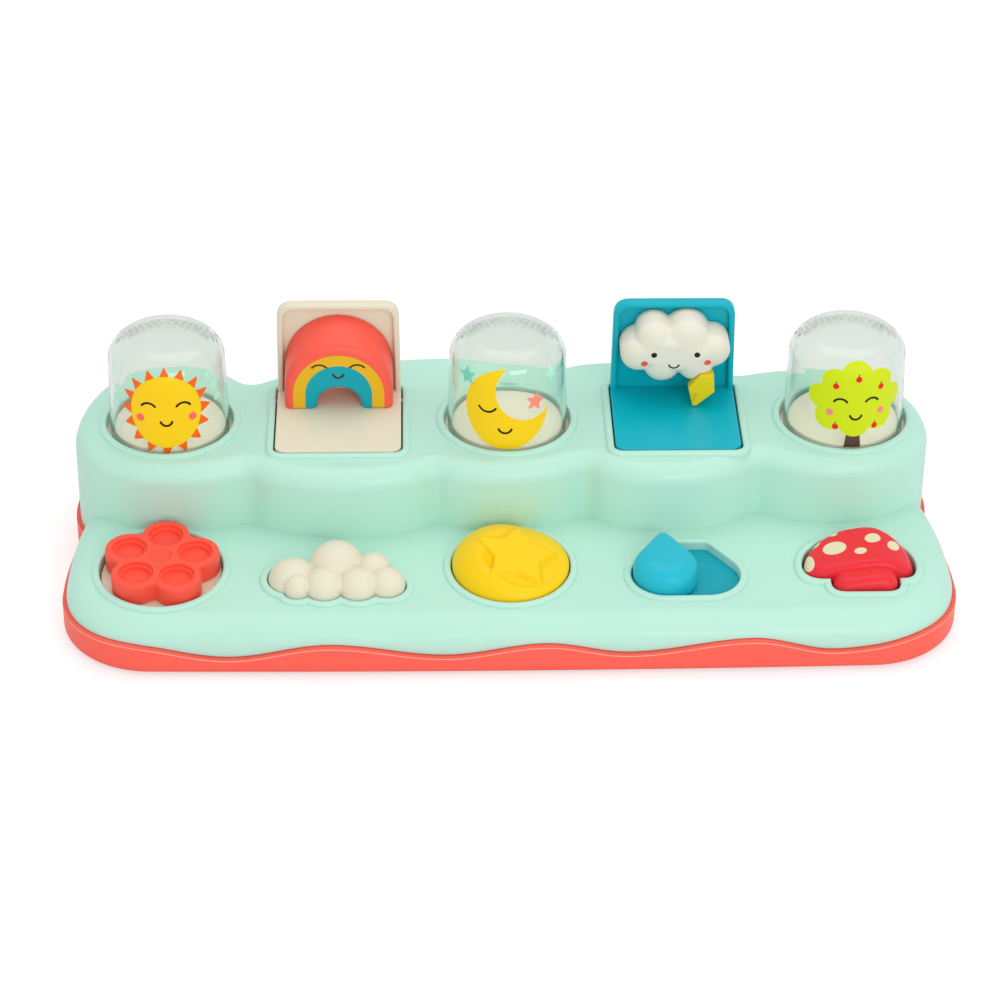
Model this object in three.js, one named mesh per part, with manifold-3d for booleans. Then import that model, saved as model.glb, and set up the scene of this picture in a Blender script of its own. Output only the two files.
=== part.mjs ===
// Pop-up toy: a two-tier moulded housing with five sprung pop-ups in the back row and five
// different controls in the front row, each of which draws back the latch bar of one pop-up.
// Millimetres, +Z up, the child sits on the -Y side. Built with the back row on y = 0 and then
// centred under its own footprint.
import * as THREE from "three";
import { mergeVertices } from "three/addons/utils/BufferGeometryUtils.js";
import Module from "manifold-3d";

const wasm = await Module();
wasm.setup();

const degrees = THREE.MathUtils.degToRad;

// Layout of the two rows
const backPitch = 71.3;
const frontPitch = 72;
const rowSpacing = 64.2;
const tierTop = 57;
const deckTop = 25.2;
const deckTilt = degrees(3.4);

// Clearances
const restGap = 0.3;
const slideGap = 0.5;
const overrun = 1;
const longReach = 400;

// Facets
const roundSteps = 20;
const outlineSteps = 5;
const edgeSteps = 2;

// Housing
const wall = 2.4;
const tierLeftEnd = 40;
const tierRightEnd = 36;
const deckEnd = 39.3;
const deckFront = 102.2;
const deckBow = 1.5;
const deckCornerRadius = 36.5;
const deckShoulderY = 62;
const deckWaist = 7.3;
const deckWaistY = 15;
const tierEdgeRadius = 8;
const deckEdgeInset = 12;
const deckEdgeDrop = 9;
const beadWidth = 3;
const beadHeight = 1.4;
const beadRound = 1;
const lobeFullShare = 0.18;

// Creases between the lobes of the back tier: x as a share of the back pitch
const frontCreaseShares = [-1.52, -0.43, 0.455, 1.45];
const frontCreaseY = [-31.3, -32.5, -28.1, -26];
const frontReaches = [-43.8, -39, -41];
const rearCreaseShares = [1.39, 0.31, -1.54];
const rearCreaseY = [38, 44.5, 33];
const rearReaches = [50.5, 54.6];
const endY = -2;
const leftEnd = { frontReach: -47, frontSide: -38, rearReach: 76, rearSide: 42 };
const rightEnd = { frontReach: -46, frontSide: -36, rearReach: 54, rearSide: 38 };
const endFrontShare = 0.37;
const endRearShare = 0.5;

// Wavy seam between shell and base: x as a share of half the width, height as a share of the swing
const seamMiddle = 12.2;
const seamSwing = 2.9;
const seamSteps = 36;
const seamShares = [
  [-1.1, 0.4],
  [-0.87, 0.95],
  [-0.63, -1.2],
  [-0.405, 0.8],
  [-0.147, -0.93],
  [0.076, 0.86],
  [0.258, -0.72],
  [0.537, 1.24],
  [0.716, -0.76],
  [0.93, 0.7],
  [1.1, 0.5],
];

// Base
const footProud = 1.2;
const footThickness = 2;
const footRadius = 9;
const baseFloor = 2.4;
const baseLedge = 1.8;
const baseRimInset = 1.2;
const baseEdgeRadius = 2.5;
const footX = 150;
const footFrontY = -78;
const footRearY = 22;

// Screws
const screwShaftRadius = 1.3;
const screwHeadRadius = 3;
const screwHeadHeight = 2;
const screwLength = 13;
const screwPilotRadius = 1.6;
const screwPassRadius = 1.8;
const screwSinkRadius = 3.4;
const screwSinkHeight = 6.6;
const shellBossRadius = 4;
const baseBossRadius = 5;
const bossSplit = 11;
const screwOuterX = 107;
const screwRearY = 18;
const screwMiddleX = 35.65;
const screwMiddleY = 36;
const screwFrontInset = 9.2;

// Round pop-ups
const portRadius = 26.8;
const domeRadius = 25.2;
const domeTopRadius = 24.4;
const domeWall = 1.5;
const domeTop = 100;
const domeFlatRadius = 13;
const domeShoulder = 11;
const flangeRadius = 28.3;
const flangeThickness = 1.8;
const platformTop = 58;
const platformThickness = 2;
const skirtRadius = 25.4;
const lipBottom = 41;
const lipThickness = 2;
const keyWidth = 3.2;
const keyReach = 2;
const collarWall = 2;
const collarBottom = 11;

// Pop-up springs
const popSpringWire = 1.4;
const popSpringRadius = 9.5;
const popSpringTurns = 7;
const springSeatRadius = 7.6;
const springSeatHeight = 4;

// Flip lids
const lidOpening = 54.1;
const lidOpeningCorner = 4;
const lidWidth = 52.9;
const lidTopWidth = 51.6;
const lidPlateTop = 58;
const lidTop = 100.6;
const lidAxisDrop = 5.3;
const lidRearY = 26.6;
const lidPanelThickness = 5;
const lidSkin = 2;
const lidRim = 2.6;
const lidCorner = 7;
const lidPlateThickness = 2.5;
const lidPlateReach = 47.3;
const pinRadius = 1.5;
const pinHoleRadius = 1.8;
const bracketThickness = 3;
const bracketHeight = 7;
const bracketDepth = 12;
const springPocketWidth = 15;

// Torsion springs on the hinge pins
const torsionWire = 1;
const torsionRadius = 2.5;
const torsionTurns = 6;
const torsionPitch = 1.8;
const torsionLeg = 12;
const torsionLegDrop = 0.5;

// Rainbow figure
const rainbowRadius = 23;
const rainbowLegHeight = 7.4;
const archRadius = 9.1;
const figureFrontY = 7.4;
const rainbowLeanShare = 0.27;
const figureEdge = 2;

// Cloud figure: the middle of each puff over the lid plate, and its radius
const figurePuffReach = 20;
const figurePuffShares = [
  { x: 0.255, z: 1.48, r: 0.49 },
  { x: -0.45, z: 1.55, r: 0.39 },
  { x: -0.765, z: 1.18, r: 0.395 },
  { x: -0.27, z: 0.92, r: 0.395 },
  { x: 0.43, z: 0.94, r: 0.4 },
  { x: 0.79, z: 1.25, r: 0.38 },
];
const boltThickness = 5;
const boltProud = 0.8;
const boltTop = 17;
const boltHeight = 16.4;
const boltMiddleX = 11.4;
const boltHalfWidth = 5.6;
const boltShares = [
  [-0.15, 0],
  [0.9, 0],
  [1, -0.55],
  [-0.35, -1],
  [-0.65, -1],
  [-1, -0.42],
];

// What every control of the front row shares
const controlGap = 0.5;
const skirtDepth = 6.5;
const flangeProud = 2;
const flangeDepth = 2;
const supportWall = 2.4;
const floorGap = 0.4;

// Flower dial
const dialOpeningRadius = 25.4;
const dialDiscTop = -2;
const dialDiscThickness = 2.4;
const flowerTop = 7.4;
const petalCentreRadius = 13.8;
const petalRadius = 9.7;
const petalCount = 5;
const flowerTurn = degrees(-10);
const fingerWellRadius = 7.2;
const fingerWellDepth = 3.4;
const flowerDimpleRadius = 4.6;
const flowerDimpleDepth = 0.9;
const flowerEdge = 1.4;

// Crank under each turning control
const crankRadius = 4.18;
const crankPinRadius = 2.5;
const crankSweep = degrees(45);
const crankHubRadius = 9;

// Moon and star knob
const knobOpeningRadius = 24.7;
const knobShoulder = 1.2;
const knobCrown = 11.5;
const knobFloor = 4.5;
const knobLean = degrees(9);
const moonHollowRadius = 17.2;
const moonHollowX = 4.9;
const moonHollowY = -3.8;
const starRadius = 17.5;
const starHeight = 2.2;
const starTurn = degrees(6);
const starWaistShare = 0.56;
const starTipShare = 0.7;
const starEdge = 0.8;

// Cloud button: the middle of each puff on the deck, the height of its ball's middle, its radius
const buttonPuffReach = 20;
const buttonPuffShares = [
  { x: 0.01, y: -0.06, z: 0.05, r: 0.58 },
  { x: -0.88, y: -0.38, z: -0.05, r: 0.51 },
  { x: -0.78, y: -0.79, z: 0.13, r: 0.27 },
  { x: -0.23, y: -0.71, z: 0.08, r: 0.41 },
  { x: 0.46, y: -0.72, z: 0.07, r: 0.41 },
  { x: 1.05, y: -0.66, z: 0.07, r: 0.38 },
  { x: 0.78, y: -0.21, z: 0.13, r: 0.35 },
];
const buttonGap = 0.4;
const buttonTravel = 5;
const buttonSpringWire = 1;
const buttonSpringRadius = 5;
const buttonSpringTurns = 4;
const buttonSpringX = 12;
const buttonSpringY = -7;
const buttonSpringSeat = 3;

// Raindrop slider
const dropTravel = 17;
const dropRadius = 13.3;
const dropMiddleY = -6.9;
const dropTipY = 13.4;
const dropTipRadius = 2.6;
const dropStartX = -8.5;
const dropTop = 10;
const dropEdge = 6;
const dropFlatShare = 0.45;
const dropGap = 0.7;
const slidePlateThickness = 2;
const slidePlateMargin = 2;
const slidePinRadius = 2;
const slidePinY = -2;

// Mushroom rocker
const capHalfWidth = 22.6;
const capFrontY = -9.8;
const capWidestY = -2;
const capRearY = 17;
const capLobeShare = 0.85;
const stalkMiddleX = 1.7;
const stalkHalfWidth = 13.2;
const stalkFrontY = -18.4;
const stalkCorner = 5;
const rockerGap = 1;
const rockerRidgeX = 7.4;
const rockerRidgeHeight = 8;
const rockerLeftSlopeShare = 0.25;
const rockerRightSlopeShare = 0.5;
const stalkStep = 1.6;
const rockerSkirt = 1.8;
const rockerUnderside = 6.4;
const rockerUndercut = 1.2;
const rockerAxisDepth = 4.4;
const rockerTravel = degrees(8);
const rockerToeX = 16;
const rockerBossRadius = 3.8;

// Latch bars
const barTravel = 3.2;
const barWidth = 8;
const barThickness = 2.6;
const barLift = 0.3;
const barRearY = -31;
const barFrontY = -84;
const barTabThickness = 2;
const barTabHeight = 6;
const latchHeight = 6.1;
const latchThickness = 3;
const latchTipThickness = 2.6;
const latchGap = 0.4;
const lidArmRearY = -29.5;
const lidArmDepth = 2.8;
const lidArmTop = 52.9;
const lidLatchY = -27.4;
const lidLatchThickness = 3.4;
const railThickness = 2;
const railHeight = 5;
const railLength = 12;
const yokeMargin = 3;
const rampThickness = 2;
const buttonRampHeight = 8;
const rockerRampHeight = 6;
const toeThickness = 4;
const barSpringWire = 0.7;
const barSpringRadius = 2.1;
const barSpringTurns = 4;
const barSpringLength = 9.6;
const stopThickness = 2;

// Values that follow from the ones above
const tierLeft = -backPitch * 2 - tierLeftEnd;
const tierRight = backPitch * 2 + tierRightEnd;
const deckHalfWidth = frontPitch * 2 + deckEnd;
const deckWaistHalfWidth = deckHalfWidth - deckWaist;
const scaled = (reach) => (shares) =>
  Object.fromEntries(Object.entries(shares).map(([key, share]) => [key, share * reach]));
const figurePuffs = figurePuffShares.map(scaled(figurePuffReach));
const buttonPuffs = buttonPuffShares.map(scaled(buttonPuffReach));
const baseBottom = footProud;
const floorTop = footProud + baseFloor;
const barBottom = floorTop + barLift;
const barTop = barBottom + barThickness;
const lidAxisY = lidRearY - lidAxisDrop;
const lidAxisZ = lidPlateTop - lidAxisDrop;
const flangeTop = -skirtDepth;
const flangeBottom = -skirtDepth - flangeDepth;
const domeBottom = tierTop - wall - restGap - flangeThickness;
const collarInner = flangeRadius + slideGap;
const domeStations = [-2, 0, 2].map((step) => step * backPitch);
const lidStations = [-1, 1].map((step) => step * backPitch);
const flowerX = -2 * frontPitch;
const buttonX = -frontPitch;
const knobX = 0;
const dropX = frontPitch;
const rockerX = 2 * frontPitch;

// Materials
const plastic = (color, roughness = 0.35) =>
  new THREE.MeshStandardMaterial({ color, roughness, metalness: 0 });
const mint = () => plastic(0xb9e6d3);
const coral = () => plastic(0xff6a58);
const cream = () => plastic(0xeae3cd);
const teal = () => plastic(0x12b6c4);
const deepTeal = () => plastic(0x08a3b3);
const yellow = () => plastic(0xf7d70f);
const red = () => plastic(0xf23a41);
const flowerCoral = () => plastic(0xff5541);
const inner = () => plastic(0xf2f2ee, 0.5);
const rubber = () => plastic(0x5a5c5e, 0.85);
const steel = () => new THREE.MeshStandardMaterial({ color: 0xb8bcc0, roughness: 0.3, metalness: 1 });
const clear = () =>
  new THREE.MeshStandardMaterial({
    color: 0xf2f6f4,
    roughness: 0.1,
    metalness: 0,
    transparent: true,
    opacity: 0.35,
  });

// Booleans
function solidOf(geometry) {
  const bare = geometry.clone();
  bare.deleteAttribute("normal");
  bare.deleteAttribute("uv");
  const welded = geometry.userData.welded ? bare : mergeVertices(bare, 1e-4);
  return new wasm.Manifold(
    new wasm.Mesh({
      numProp: 3,
      vertProperties: Float32Array.from(welded.attributes.position.array),
      triVerts: Uint32Array.from(welded.index.array),
    }),
  );
}

function geometryOf(solid) {
  const mesh = solid.getMesh();
  const geometry = new THREE.BufferGeometry();
  geometry.setAttribute("position", new THREE.BufferAttribute(mesh.vertProperties.slice(), 3));
  geometry.setIndex(new THREE.BufferAttribute(mesh.triVerts.slice(), 1));
  geometry.userData.welded = true;
  return geometry;
}

function joined(pieces) {
  return geometryOf(pieces.map(solidOf).reduce((whole, piece) => whole.add(piece)));
}

function cutBy(body, tools) {
  return geometryOf(tools.map(solidOf).reduce((whole, tool) => whole.subtract(tool), solidOf(body)));
}

function within(body, limit) {
  return geometryOf(solidOf(body).intersect(solidOf(limit)));
}

// Plain solids
function block(low, high) {
  const size = high.map((value, axis) => value - low[axis]);
  const geometry = new THREE.BoxGeometry(...size);
  return geometry.translate(...size.map((value, axis) => low[axis] + value / 2));
}

function upright(radius, from, to, x = 0, y = 0, steps = roundSteps) {
  const geometry = new THREE.CylinderGeometry(radius, radius, to - from, steps);
  return geometry.rotateX(Math.PI / 2).translate(x, y, (from + to) / 2);
}

function rodAlongX(radius, from, to, y, z, steps = roundSteps / 2) {
  const geometry = new THREE.CylinderGeometry(radius, radius, to - from, steps);
  return geometry.rotateZ(Math.PI / 2).translate((from + to) / 2, y, z);
}

function rodAlongY(radius, from, to, x, z, steps = roundSteps / 2) {
  const geometry = new THREE.CylinderGeometry(radius, radius, to - from, steps);
  return geometry.translate(x, (from + to) / 2, z);
}

function tube(outer, bore, from, to, x = 0, y = 0) {
  return cutBy(upright(outer, from, to, x, y), [upright(bore, from - overrun, to + overrun, x, y)]);
}

// A profile of radius and height pairs, from the foot of the axis outwards and up
function revolved(profile, steps = roundSteps) {
  const points = profile.map(([radius, z]) => new THREE.Vector2(radius, z));
  return new THREE.LatheGeometry(points, steps).rotateX(Math.PI / 2).rotateZ(Math.PI / 2);
}

// Outline moved outwards by `grow`, as straight sides that meet in sharp corners
function movedOutline(shape, grow, curve) {
  const least = restGap / 10;
  const points = shape
    .getPoints(curve)
    .filter((point, index, all) => point.distanceTo(all.at(index - 1)) > least);
  const side = THREE.ShapeUtils.isClockWise(points) ? -grow : grow;
  return new THREE.Shape(
    points.map((point, index) => {
      const arriving = point.clone().sub(points.at(index - 1)).normalize();
      const leaving = points[(index + 1) % points.length].clone().sub(point).normalize();
      const outward = new THREE.Vector2(arriving.y + leaving.y, -arriving.x - leaving.x);
      return outward.multiplyScalar((side * 2) / outward.lengthSq()).add(point);
    }),
  );
}

// A prism with both rims rounded over by `inset` and `drop`; `grow` moves its outline outwards
function prism(
  shape,
  from,
  to,
  { grow = 0, inset = 0, drop = 0, steps = edgeSteps, curve = outlineSteps } = {},
) {
  const outline = grow === 0 ? shape : movedOutline(shape, grow, curve);
  const geometry = new THREE.ExtrudeGeometry(outline, {
    depth: to - from - drop * 2,
    bevelEnabled: inset > 0,
    bevelThickness: drop,
    bevelSize: inset,
    bevelOffset: -inset,
    bevelSegments: steps,
    curveSegments: curve,
  });
  return geometry.translate(0, 0, from + drop);
}

// An outline in x and z, standing from frontY back to rearY
function standing(shape, frontY, rearY, edge = 0) {
  const slab = edge > 0
    ? prism(shape, -edge * 2, rearY - frontY, { inset: edge, drop: edge, steps: 2 })
    : prism(shape, 0, rearY - frontY);
  return slab.rotateX(Math.PI / 2).translate(0, rearY, 0);
}

// An outline in y and z, `width` thick about x
function sideways(points, x, width) {
  const shape = new THREE.Shape(points.map(([y, z]) => new THREE.Vector2(y, z)));
  const turn = new THREE.Matrix4().set(
    0, 0, 1, 0,
    1, 0, 0, 0,
    0, 1, 0, 0,
    0, 0, 0, 1,
  );
  return prism(shape, x - width / 2, x + width / 2).applyMatrix4(turn);
}

function roundedRectangle(width, depth, radius) {
  const x = width / 2 - radius;
  const y = depth / 2 - radius;
  const shape = new THREE.Shape();
  shape.absarc(x, -y, radius, -Math.PI / 2, 0);
  shape.absarc(x, y, radius, 0, Math.PI / 2);
  shape.absarc(-x, y, radius, Math.PI / 2, Math.PI);
  shape.absarc(-x, -y, radius, Math.PI, Math.PI * 1.5);
  return shape;
}

function circleShape(radius) {
  const shape = new THREE.Shape();
  shape.absarc(0, 0, radius, 0, Math.PI * 2);
  return shape;
}

// Outline round a ring of overlapping puffs listed anticlockwise
function scallopShape(puffs, grow = 0) {
  const meeting = (a, b) => {
    const across = new THREE.Vector2(b.x - a.x, b.y - a.y);
    const apart = across.length();
    const along = (apart ** 2 + (a.r + grow) ** 2 - (b.r + grow) ** 2) / (2 * apart);
    const out = Math.sqrt((a.r + grow) ** 2 - along ** 2);
    across.normalize();
    return new THREE.Vector2(
      a.x + across.x * along + across.y * out,
      a.y + across.y * along - across.x * out,
    );
  };
  const shape = new THREE.Shape();
  puffs.forEach((puff, index) => {
    const before = meeting(puffs.at(index - 1), puff);
    const after = meeting(puff, puffs[(index + 1) % puffs.length]);
    const from = Math.atan2(before.y - puff.y, before.x - puff.x);
    const to = Math.atan2(after.y - puff.y, after.x - puff.x);
    shape.absarc(puff.x, puff.y, puff.r + grow, from, to);
  });
  return shape;
}

// Place in the tilted front deck, with z = 0 on its surface
function deckPlace(x) {
  const turn = new THREE.Matrix4().makeRotationX(deckTilt);
  return new THREE.Matrix4().makeTranslation(x, -rowSpacing, deckTop).multiply(turn);
}

function onDeck(geometry, x) {
  return geometry.clone().applyMatrix4(deckPlace(x));
}

function offDeck(geometry, x) {
  return geometry.clone().applyMatrix4(deckPlace(x).invert());
}

function deckPoint(x, y, z) {
  return new THREE.Vector3(0, y, z).applyMatrix4(deckPlace(x));
}

// Outline of the back tier
function addLobe(shape, x, y, reach) {
  const start = shape.currentPoint.clone();
  const swell = ((reach - (start.y + y) / 2) * 4) / 3;
  const lead = (x - start.x) * lobeFullShare;
  shape.bezierCurveTo(start.x + lead, start.y + swell, x - lead, y + swell, x, y);
}

function tierShape() {
  const shape = new THREE.Shape();
  const front = frontCreaseShares.map((share) => share * backPitch);
  const rear = rearCreaseShares.map((share) => share * backPitch);
  const between = (crease, side, share) => crease + (side - crease) * share;
  const frontLeftX = between(front[0], tierLeft, endFrontShare);
  const frontRightX = between(front[3], tierRight, endFrontShare);
  const rearRightX = between(rear[0], tierRight, endRearShare);
  const rearLeftX = between(rear[2], tierLeft, endRearShare);
  shape.moveTo(tierLeft, endY);
  shape.bezierCurveTo(
    tierLeft, leftEnd.frontSide,
    frontLeftX, leftEnd.frontReach,
    front[0], frontCreaseY[0],
  );
  frontReaches.forEach((reach, index) => {
    addLobe(shape, front[index + 1], frontCreaseY[index + 1], reach);
  });
  shape.bezierCurveTo(frontRightX, rightEnd.frontReach, tierRight, rightEnd.frontSide, tierRight, endY);
  shape.bezierCurveTo(tierRight, rightEnd.rearSide, rearRightX, rightEnd.rearReach, rear[0], rearCreaseY[0]);
  rearReaches.forEach((reach, index) => {
    addLobe(shape, rear[index + 1], rearCreaseY[index + 1], reach);
  });
  shape.bezierCurveTo(rearLeftX, leftEnd.rearReach, tierLeft, leftEnd.rearSide, tierLeft, endY);
  return shape;
}

// Outline of the front deck, which runs back under the tier
function deckShape() {
  const shape = new THREE.Shape();
  const arcX = deckHalfWidth - deckCornerRadius;
  const arcY = -deckFront + deckCornerRadius;
  const midY = (-deckWaistY - deckShoulderY) / 2;
  shape.moveTo(-deckWaistHalfWidth, 0);
  shape.lineTo(-deckWaistHalfWidth, -deckWaistY);
  shape.quadraticCurveTo(-deckHalfWidth, midY, -deckHalfWidth, arcY);
  shape.absarc(-arcX, arcY, deckCornerRadius, Math.PI, Math.PI * 1.5);
  shape.quadraticCurveTo(0, -deckFront - deckBow * 2, arcX, -deckFront);
  shape.absarc(arcX, arcY, deckCornerRadius, -Math.PI / 2, 0);
  shape.quadraticCurveTo(deckHalfWidth, midY, deckWaistHalfWidth, -deckWaistY);
  shape.lineTo(deckWaistHalfWidth, 0);
  return shape;
}

// The two blocks of the housing, moved in by `inset` on every side but the bottom
function housingBody(inset, depth) {
  const tierRound = tierEdgeRadius - inset;
  const tier = prism(tierShape(), -depth, tierTop - inset, {
    grow: -inset,
    inset: tierRound,
    drop: tierRound,
  });
  const deckDrop = deckEdgeDrop - inset;
  const deck = prism(deckShape(), -depth - deckTop, -inset, {
    grow: -inset,
    inset: deckEdgeInset - inset,
    drop: deckDrop,
  });
  const slope = Math.tan(deckTilt);
  const lean = new THREE.Matrix4().set(
    1, 0, 0, 0,
    0, 1, 0, 0,
    0, slope, 1, deckTop + rowSpacing * slope,
    0, 0, 0, 1,
  );
  deck.applyMatrix4(lean);
  return joined([tier, deck]);
}

function seamHeight(x) {
  const share = THREE.MathUtils.clamp(x / deckHalfWidth, seamShares[0][0], seamShares.at(-1)[0]);
  const next = Math.max(1, seamShares.findIndex(([at]) => at >= share));
  const [fromAt, fromSwing] = seamShares[next - 1];
  const [toAt, toSwing] = seamShares[next];
  const blend = (1 - Math.cos((Math.PI * (share - fromAt)) / (toAt - fromAt))) / 2;
  return seamMiddle + seamSwing * THREE.MathUtils.lerp(fromSwing, toSwing, blend);
}

// Everything below the wavy seam, moved up by `lift`
function belowSeam(lift) {
  const half = deckHalfWidth + deckCornerRadius;
  const shape = new THREE.Shape();
  shape.moveTo(-half, -tierTop);
  for (let step = 0; step <= seamSteps; step += 1) {
    const x = -half + (2 * half * step) / seamSteps;
    shape.lineTo(x, seamHeight(x) + lift);
  }
  shape.lineTo(half, -tierTop);
  return standing(shape, -longReach / 2, longReach / 2);
}

// Outlines of the openings in the front deck, moved outwards by `grow`
function dropShape(x, travel, grow) {
  const tipY = dropTipY - dropTipRadius;
  const spread = Math.acos((dropRadius - dropTipRadius) / (tipY - dropMiddleY));
  const end = x + travel;
  const shape = new THREE.Shape();
  shape.absarc(x, dropMiddleY, dropRadius + grow, Math.PI / 2 + spread, Math.PI * 1.5);
  shape.absarc(end, dropMiddleY, dropRadius + grow, -Math.PI / 2, Math.PI / 2 - spread);
  shape.absarc(end, tipY, dropTipRadius + grow, Math.PI / 2 - spread, Math.PI / 2);
  shape.absarc(x, tipY, dropTipRadius + grow, Math.PI / 2, Math.PI / 2 + spread);
  return shape;
}

function mushroomShape(grow) {
  const cap = capHalfWidth + grow;
  const capFront = capFrontY - grow;
  const left = stalkMiddleX - stalkHalfWidth - grow;
  const right = stalkMiddleX + stalkHalfWidth + grow;
  const front = stalkFrontY - grow;
  const corner = stalkCorner + grow;
  const shape = new THREE.Shape();
  shape.absellipse(0, capWidestY, cap, capRearY + grow - capWidestY, 0, Math.PI);
  shape.quadraticCurveTo(-cap, capFront, -cap + (cap + left) * capLobeShare, capFront);
  shape.lineTo(left, capFront);
  shape.lineTo(left, front + corner);
  shape.quadraticCurveTo(left, front, left + corner, front);
  shape.lineTo(right - corner, front);
  shape.quadraticCurveTo(right, front, right, front + corner);
  shape.lineTo(right, capFront);
  shape.lineTo(cap - (cap - right) * capLobeShare, capFront);
  shape.quadraticCurveTo(cap, capFront, cap, capWidestY);
  return shape;
}

const circleCurve = roundSteps / 2;
const buttonCurve = 3;
const dialOutline = (grow) => circleShape(dialOpeningRadius + grow);
const buttonOutline = (grow) => scallopShape(buttonPuffs, buttonGap + grow);
const knobOutline = (grow) => circleShape(knobOpeningRadius + grow);
const controls = [
  { x: flowerX, outline: dialOutline, curve: circleCurve, collar: flangeProud },
  { x: buttonX, outline: buttonOutline, curve: buttonCurve, collar: flangeProud },
  { x: knobX, outline: knobOutline, curve: circleCurve, collar: flangeProud },
  { x: dropX, outline: (grow) => dropShape(dropStartX, dropTravel, dropGap + grow), curve: 4, collar: 0 },
  { x: rockerX, outline: (grow) => mushroomShape(rockerGap + grow), curve: 4, collar: 0 },
];

function screwPlaces() {
  return [-1, 1].flatMap((side) => [
    [side * screwOuterX, screwRearY],
    [side * screwMiddleX, screwMiddleY],
    [side * screwOuterX, screwFrontInset - deckFront],
  ]);
}

function footPlaces() {
  return [-1, 1].flatMap((side) => [
    [side * footX, footFrontY],
    [side * footX, footRearY],
  ]);
}

// Shell: its openings, each with a raised bead
function shellOpenings() {
  const square = (grow) => {
    const size = lidOpening + grow * 2;
    return roundedRectangle(size, size, lidOpeningCorner + grow);
  };
  const level = (geometry, x) => geometry.clone().translate(x, 0, tierTop);
  return [
    ...domeStations.map((x) => ({
      x,
      place: level,
      outline: (grow) => circleShape(portRadius + grow),
      curve: circleCurve,
    })),
    ...lidStations.map((x) => ({ x, place: level, outline: square, curve: 3 })),
    ...controls.map((control) => ({ ...control, place: onDeck })),
  ];
}

function beadOf({ outline, curve }) {
  const low = -wall / 2 - beadRound;
  return prism(outline(beadWidth), low, beadHeight, { inset: beadRound, drop: beadRound, steps: 1, curve });
}

function holeOf({ outline, curve }) {
  return prism(outline(0), -tierEdgeRadius, tierEdgeRadius, { curve });
}

function domeCollar(x) {
  const ring = tube(collarInner + collarWall, collarInner, collarBottom, tierTop - wall / 2, x);
  const slot = block(
    [x - keyWidth / 2 - slideGap, collarInner - overrun, collarBottom - overrun],
    [x + keyWidth / 2 + slideGap, collarInner + collarWall + overrun, tierTop - wall - restGap],
  );
  return cutBy(ring, [slot]);
}

function lidBrackets(x) {
  const near = lidOpening / 2 + slideGap;
  const far = near + bracketThickness;
  return [-1, 1].map((side) => {
    const ends = [x + side * near, x + side * far].sort((a, b) => a - b);
    const cheek = block(
      [ends[0], lidAxisY - bracketDepth / 2, tierTop - wall - bracketHeight],
      [ends[1], lidAxisY + bracketDepth / 2, tierTop - wall / 2],
    );
    const from = ends[0] - overrun;
    const to = ends[1] + overrun;
    return cutBy(cheek, [rodAlongX(pinHoleRadius, from, to, lidAxisY, lidAxisZ, 12)]);
  });
}

function controlCollars() {
  return controls
    .filter(({ collar }) => collar > 0)
    .map(({ x, outline, collar, curve }) => {
      const outside = prism(outline(collar), flangeTop + restGap, -wall / 2, { curve });
      const bore = prism(outline(0), flangeTop - overrun, overrun, { curve });
      return onDeck(cutBy(outside, [bore]), x);
    });
}

function rockerBrackets() {
  const standOff = rockerGap + slideGap;
  const spans = [
    [stalkFrontY - standOff - bracketThickness, stalkFrontY - standOff],
    [capRearY + standOff, capRearY + standOff + bracketThickness],
  ];
  return spans.map(([from, to]) => {
    const cheek = block(
      [-rockerBossRadius, from, -rockerAxisDepth - rockerBossRadius],
      [rockerBossRadius, to, -wall / 2],
    );
    const hole = rodAlongY(pinHoleRadius, from - overrun, to + overrun, 0, -rockerAxisDepth, 12);
    return onDeck(cutBy(cheek, [hole]), rockerX);
  });
}

function shellBosses() {
  return screwPlaces().map(([x, y]) => upright(shellBossRadius, bossSplit, tierTop - wall / 2, x, y, 8));
}

function makeShell() {
  const openings = shellOpenings();
  const outside = housingBody(0, tierEdgeRadius * 2);
  const hollow = housingBody(wall, tierEdgeRadius * 3);
  const skin = cutBy(outside, [hollow, belowSeam(0)]);
  const ribs = joined([
    ...domeStations.map(domeCollar),
    ...lidStations.flatMap(lidBrackets),
    ...controlCollars(),
    ...rockerBrackets(),
    ...shellBosses(),
  ]);
  const beads = openings.map((opening) => opening.place(beadOf(opening), opening.x));
  const holes = openings.map((opening) => opening.place(holeOf(opening), opening.x));
  const bores = domeStations.map((x) => upright(collarInner, tierTop - tierEdgeRadius, tierTop - wall, x));
  const pilots = screwPlaces().map(([x, y]) =>
    upright(screwPilotRadius, bossSplit - overrun, screwSinkHeight + screwLength + overrun, x, y, 8),
  );
  return cutBy(joined([skin, within(ribs, outside), ...beads]), [...holes, ...bores, ...pilots]);
}

// Base
function barLane(x, halfWidth) {
  return block([x - halfWidth, -longReach, 0], [x + halfWidth, longReach, deckTop]);
}

function supportRing(x, barX, openingRadius) {
  const outer = openingRadius - controlGap;
  const ring = onDeck(tube(outer, outer - supportWall, -deckTop - floorTop, flangeBottom - restGap), x);
  return cutBy(ring, [barLane(barX, barWidth / 2 + railThickness + slideGap * 2)]);
}

function slideRails() {
  const top = -wall - slidePlateThickness - restGap * 2;
  const rails = [dropMiddleY - dropRadius + supportWall, dropTipY - supportWall].map((y) =>
    onDeck(
      block(
        [dropStartX - dropRadius, y - supportWall / 2, -deckTop - floorTop],
        [dropStartX + dropTravel + dropRadius, y + supportWall / 2, top],
      ),
      dropX,
    ),
  );
  return cutBy(joined(rails), [barLane(backPitch, barWidth / 2 + railThickness)]);
}

function barRails(x) {
  const near = barWidth / 2 + slideGap;
  return [-1, 1].map((side) => {
    const ends = [x + side * near, x + side * (near + railThickness)].sort((a, b) => a - b);
    return block(
      [ends[0], barRearY - latchThickness - railLength, floorTop - baseFloor / 2],
      [ends[1], barRearY - latchThickness, floorTop + railHeight],
    );
  });
}

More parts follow.
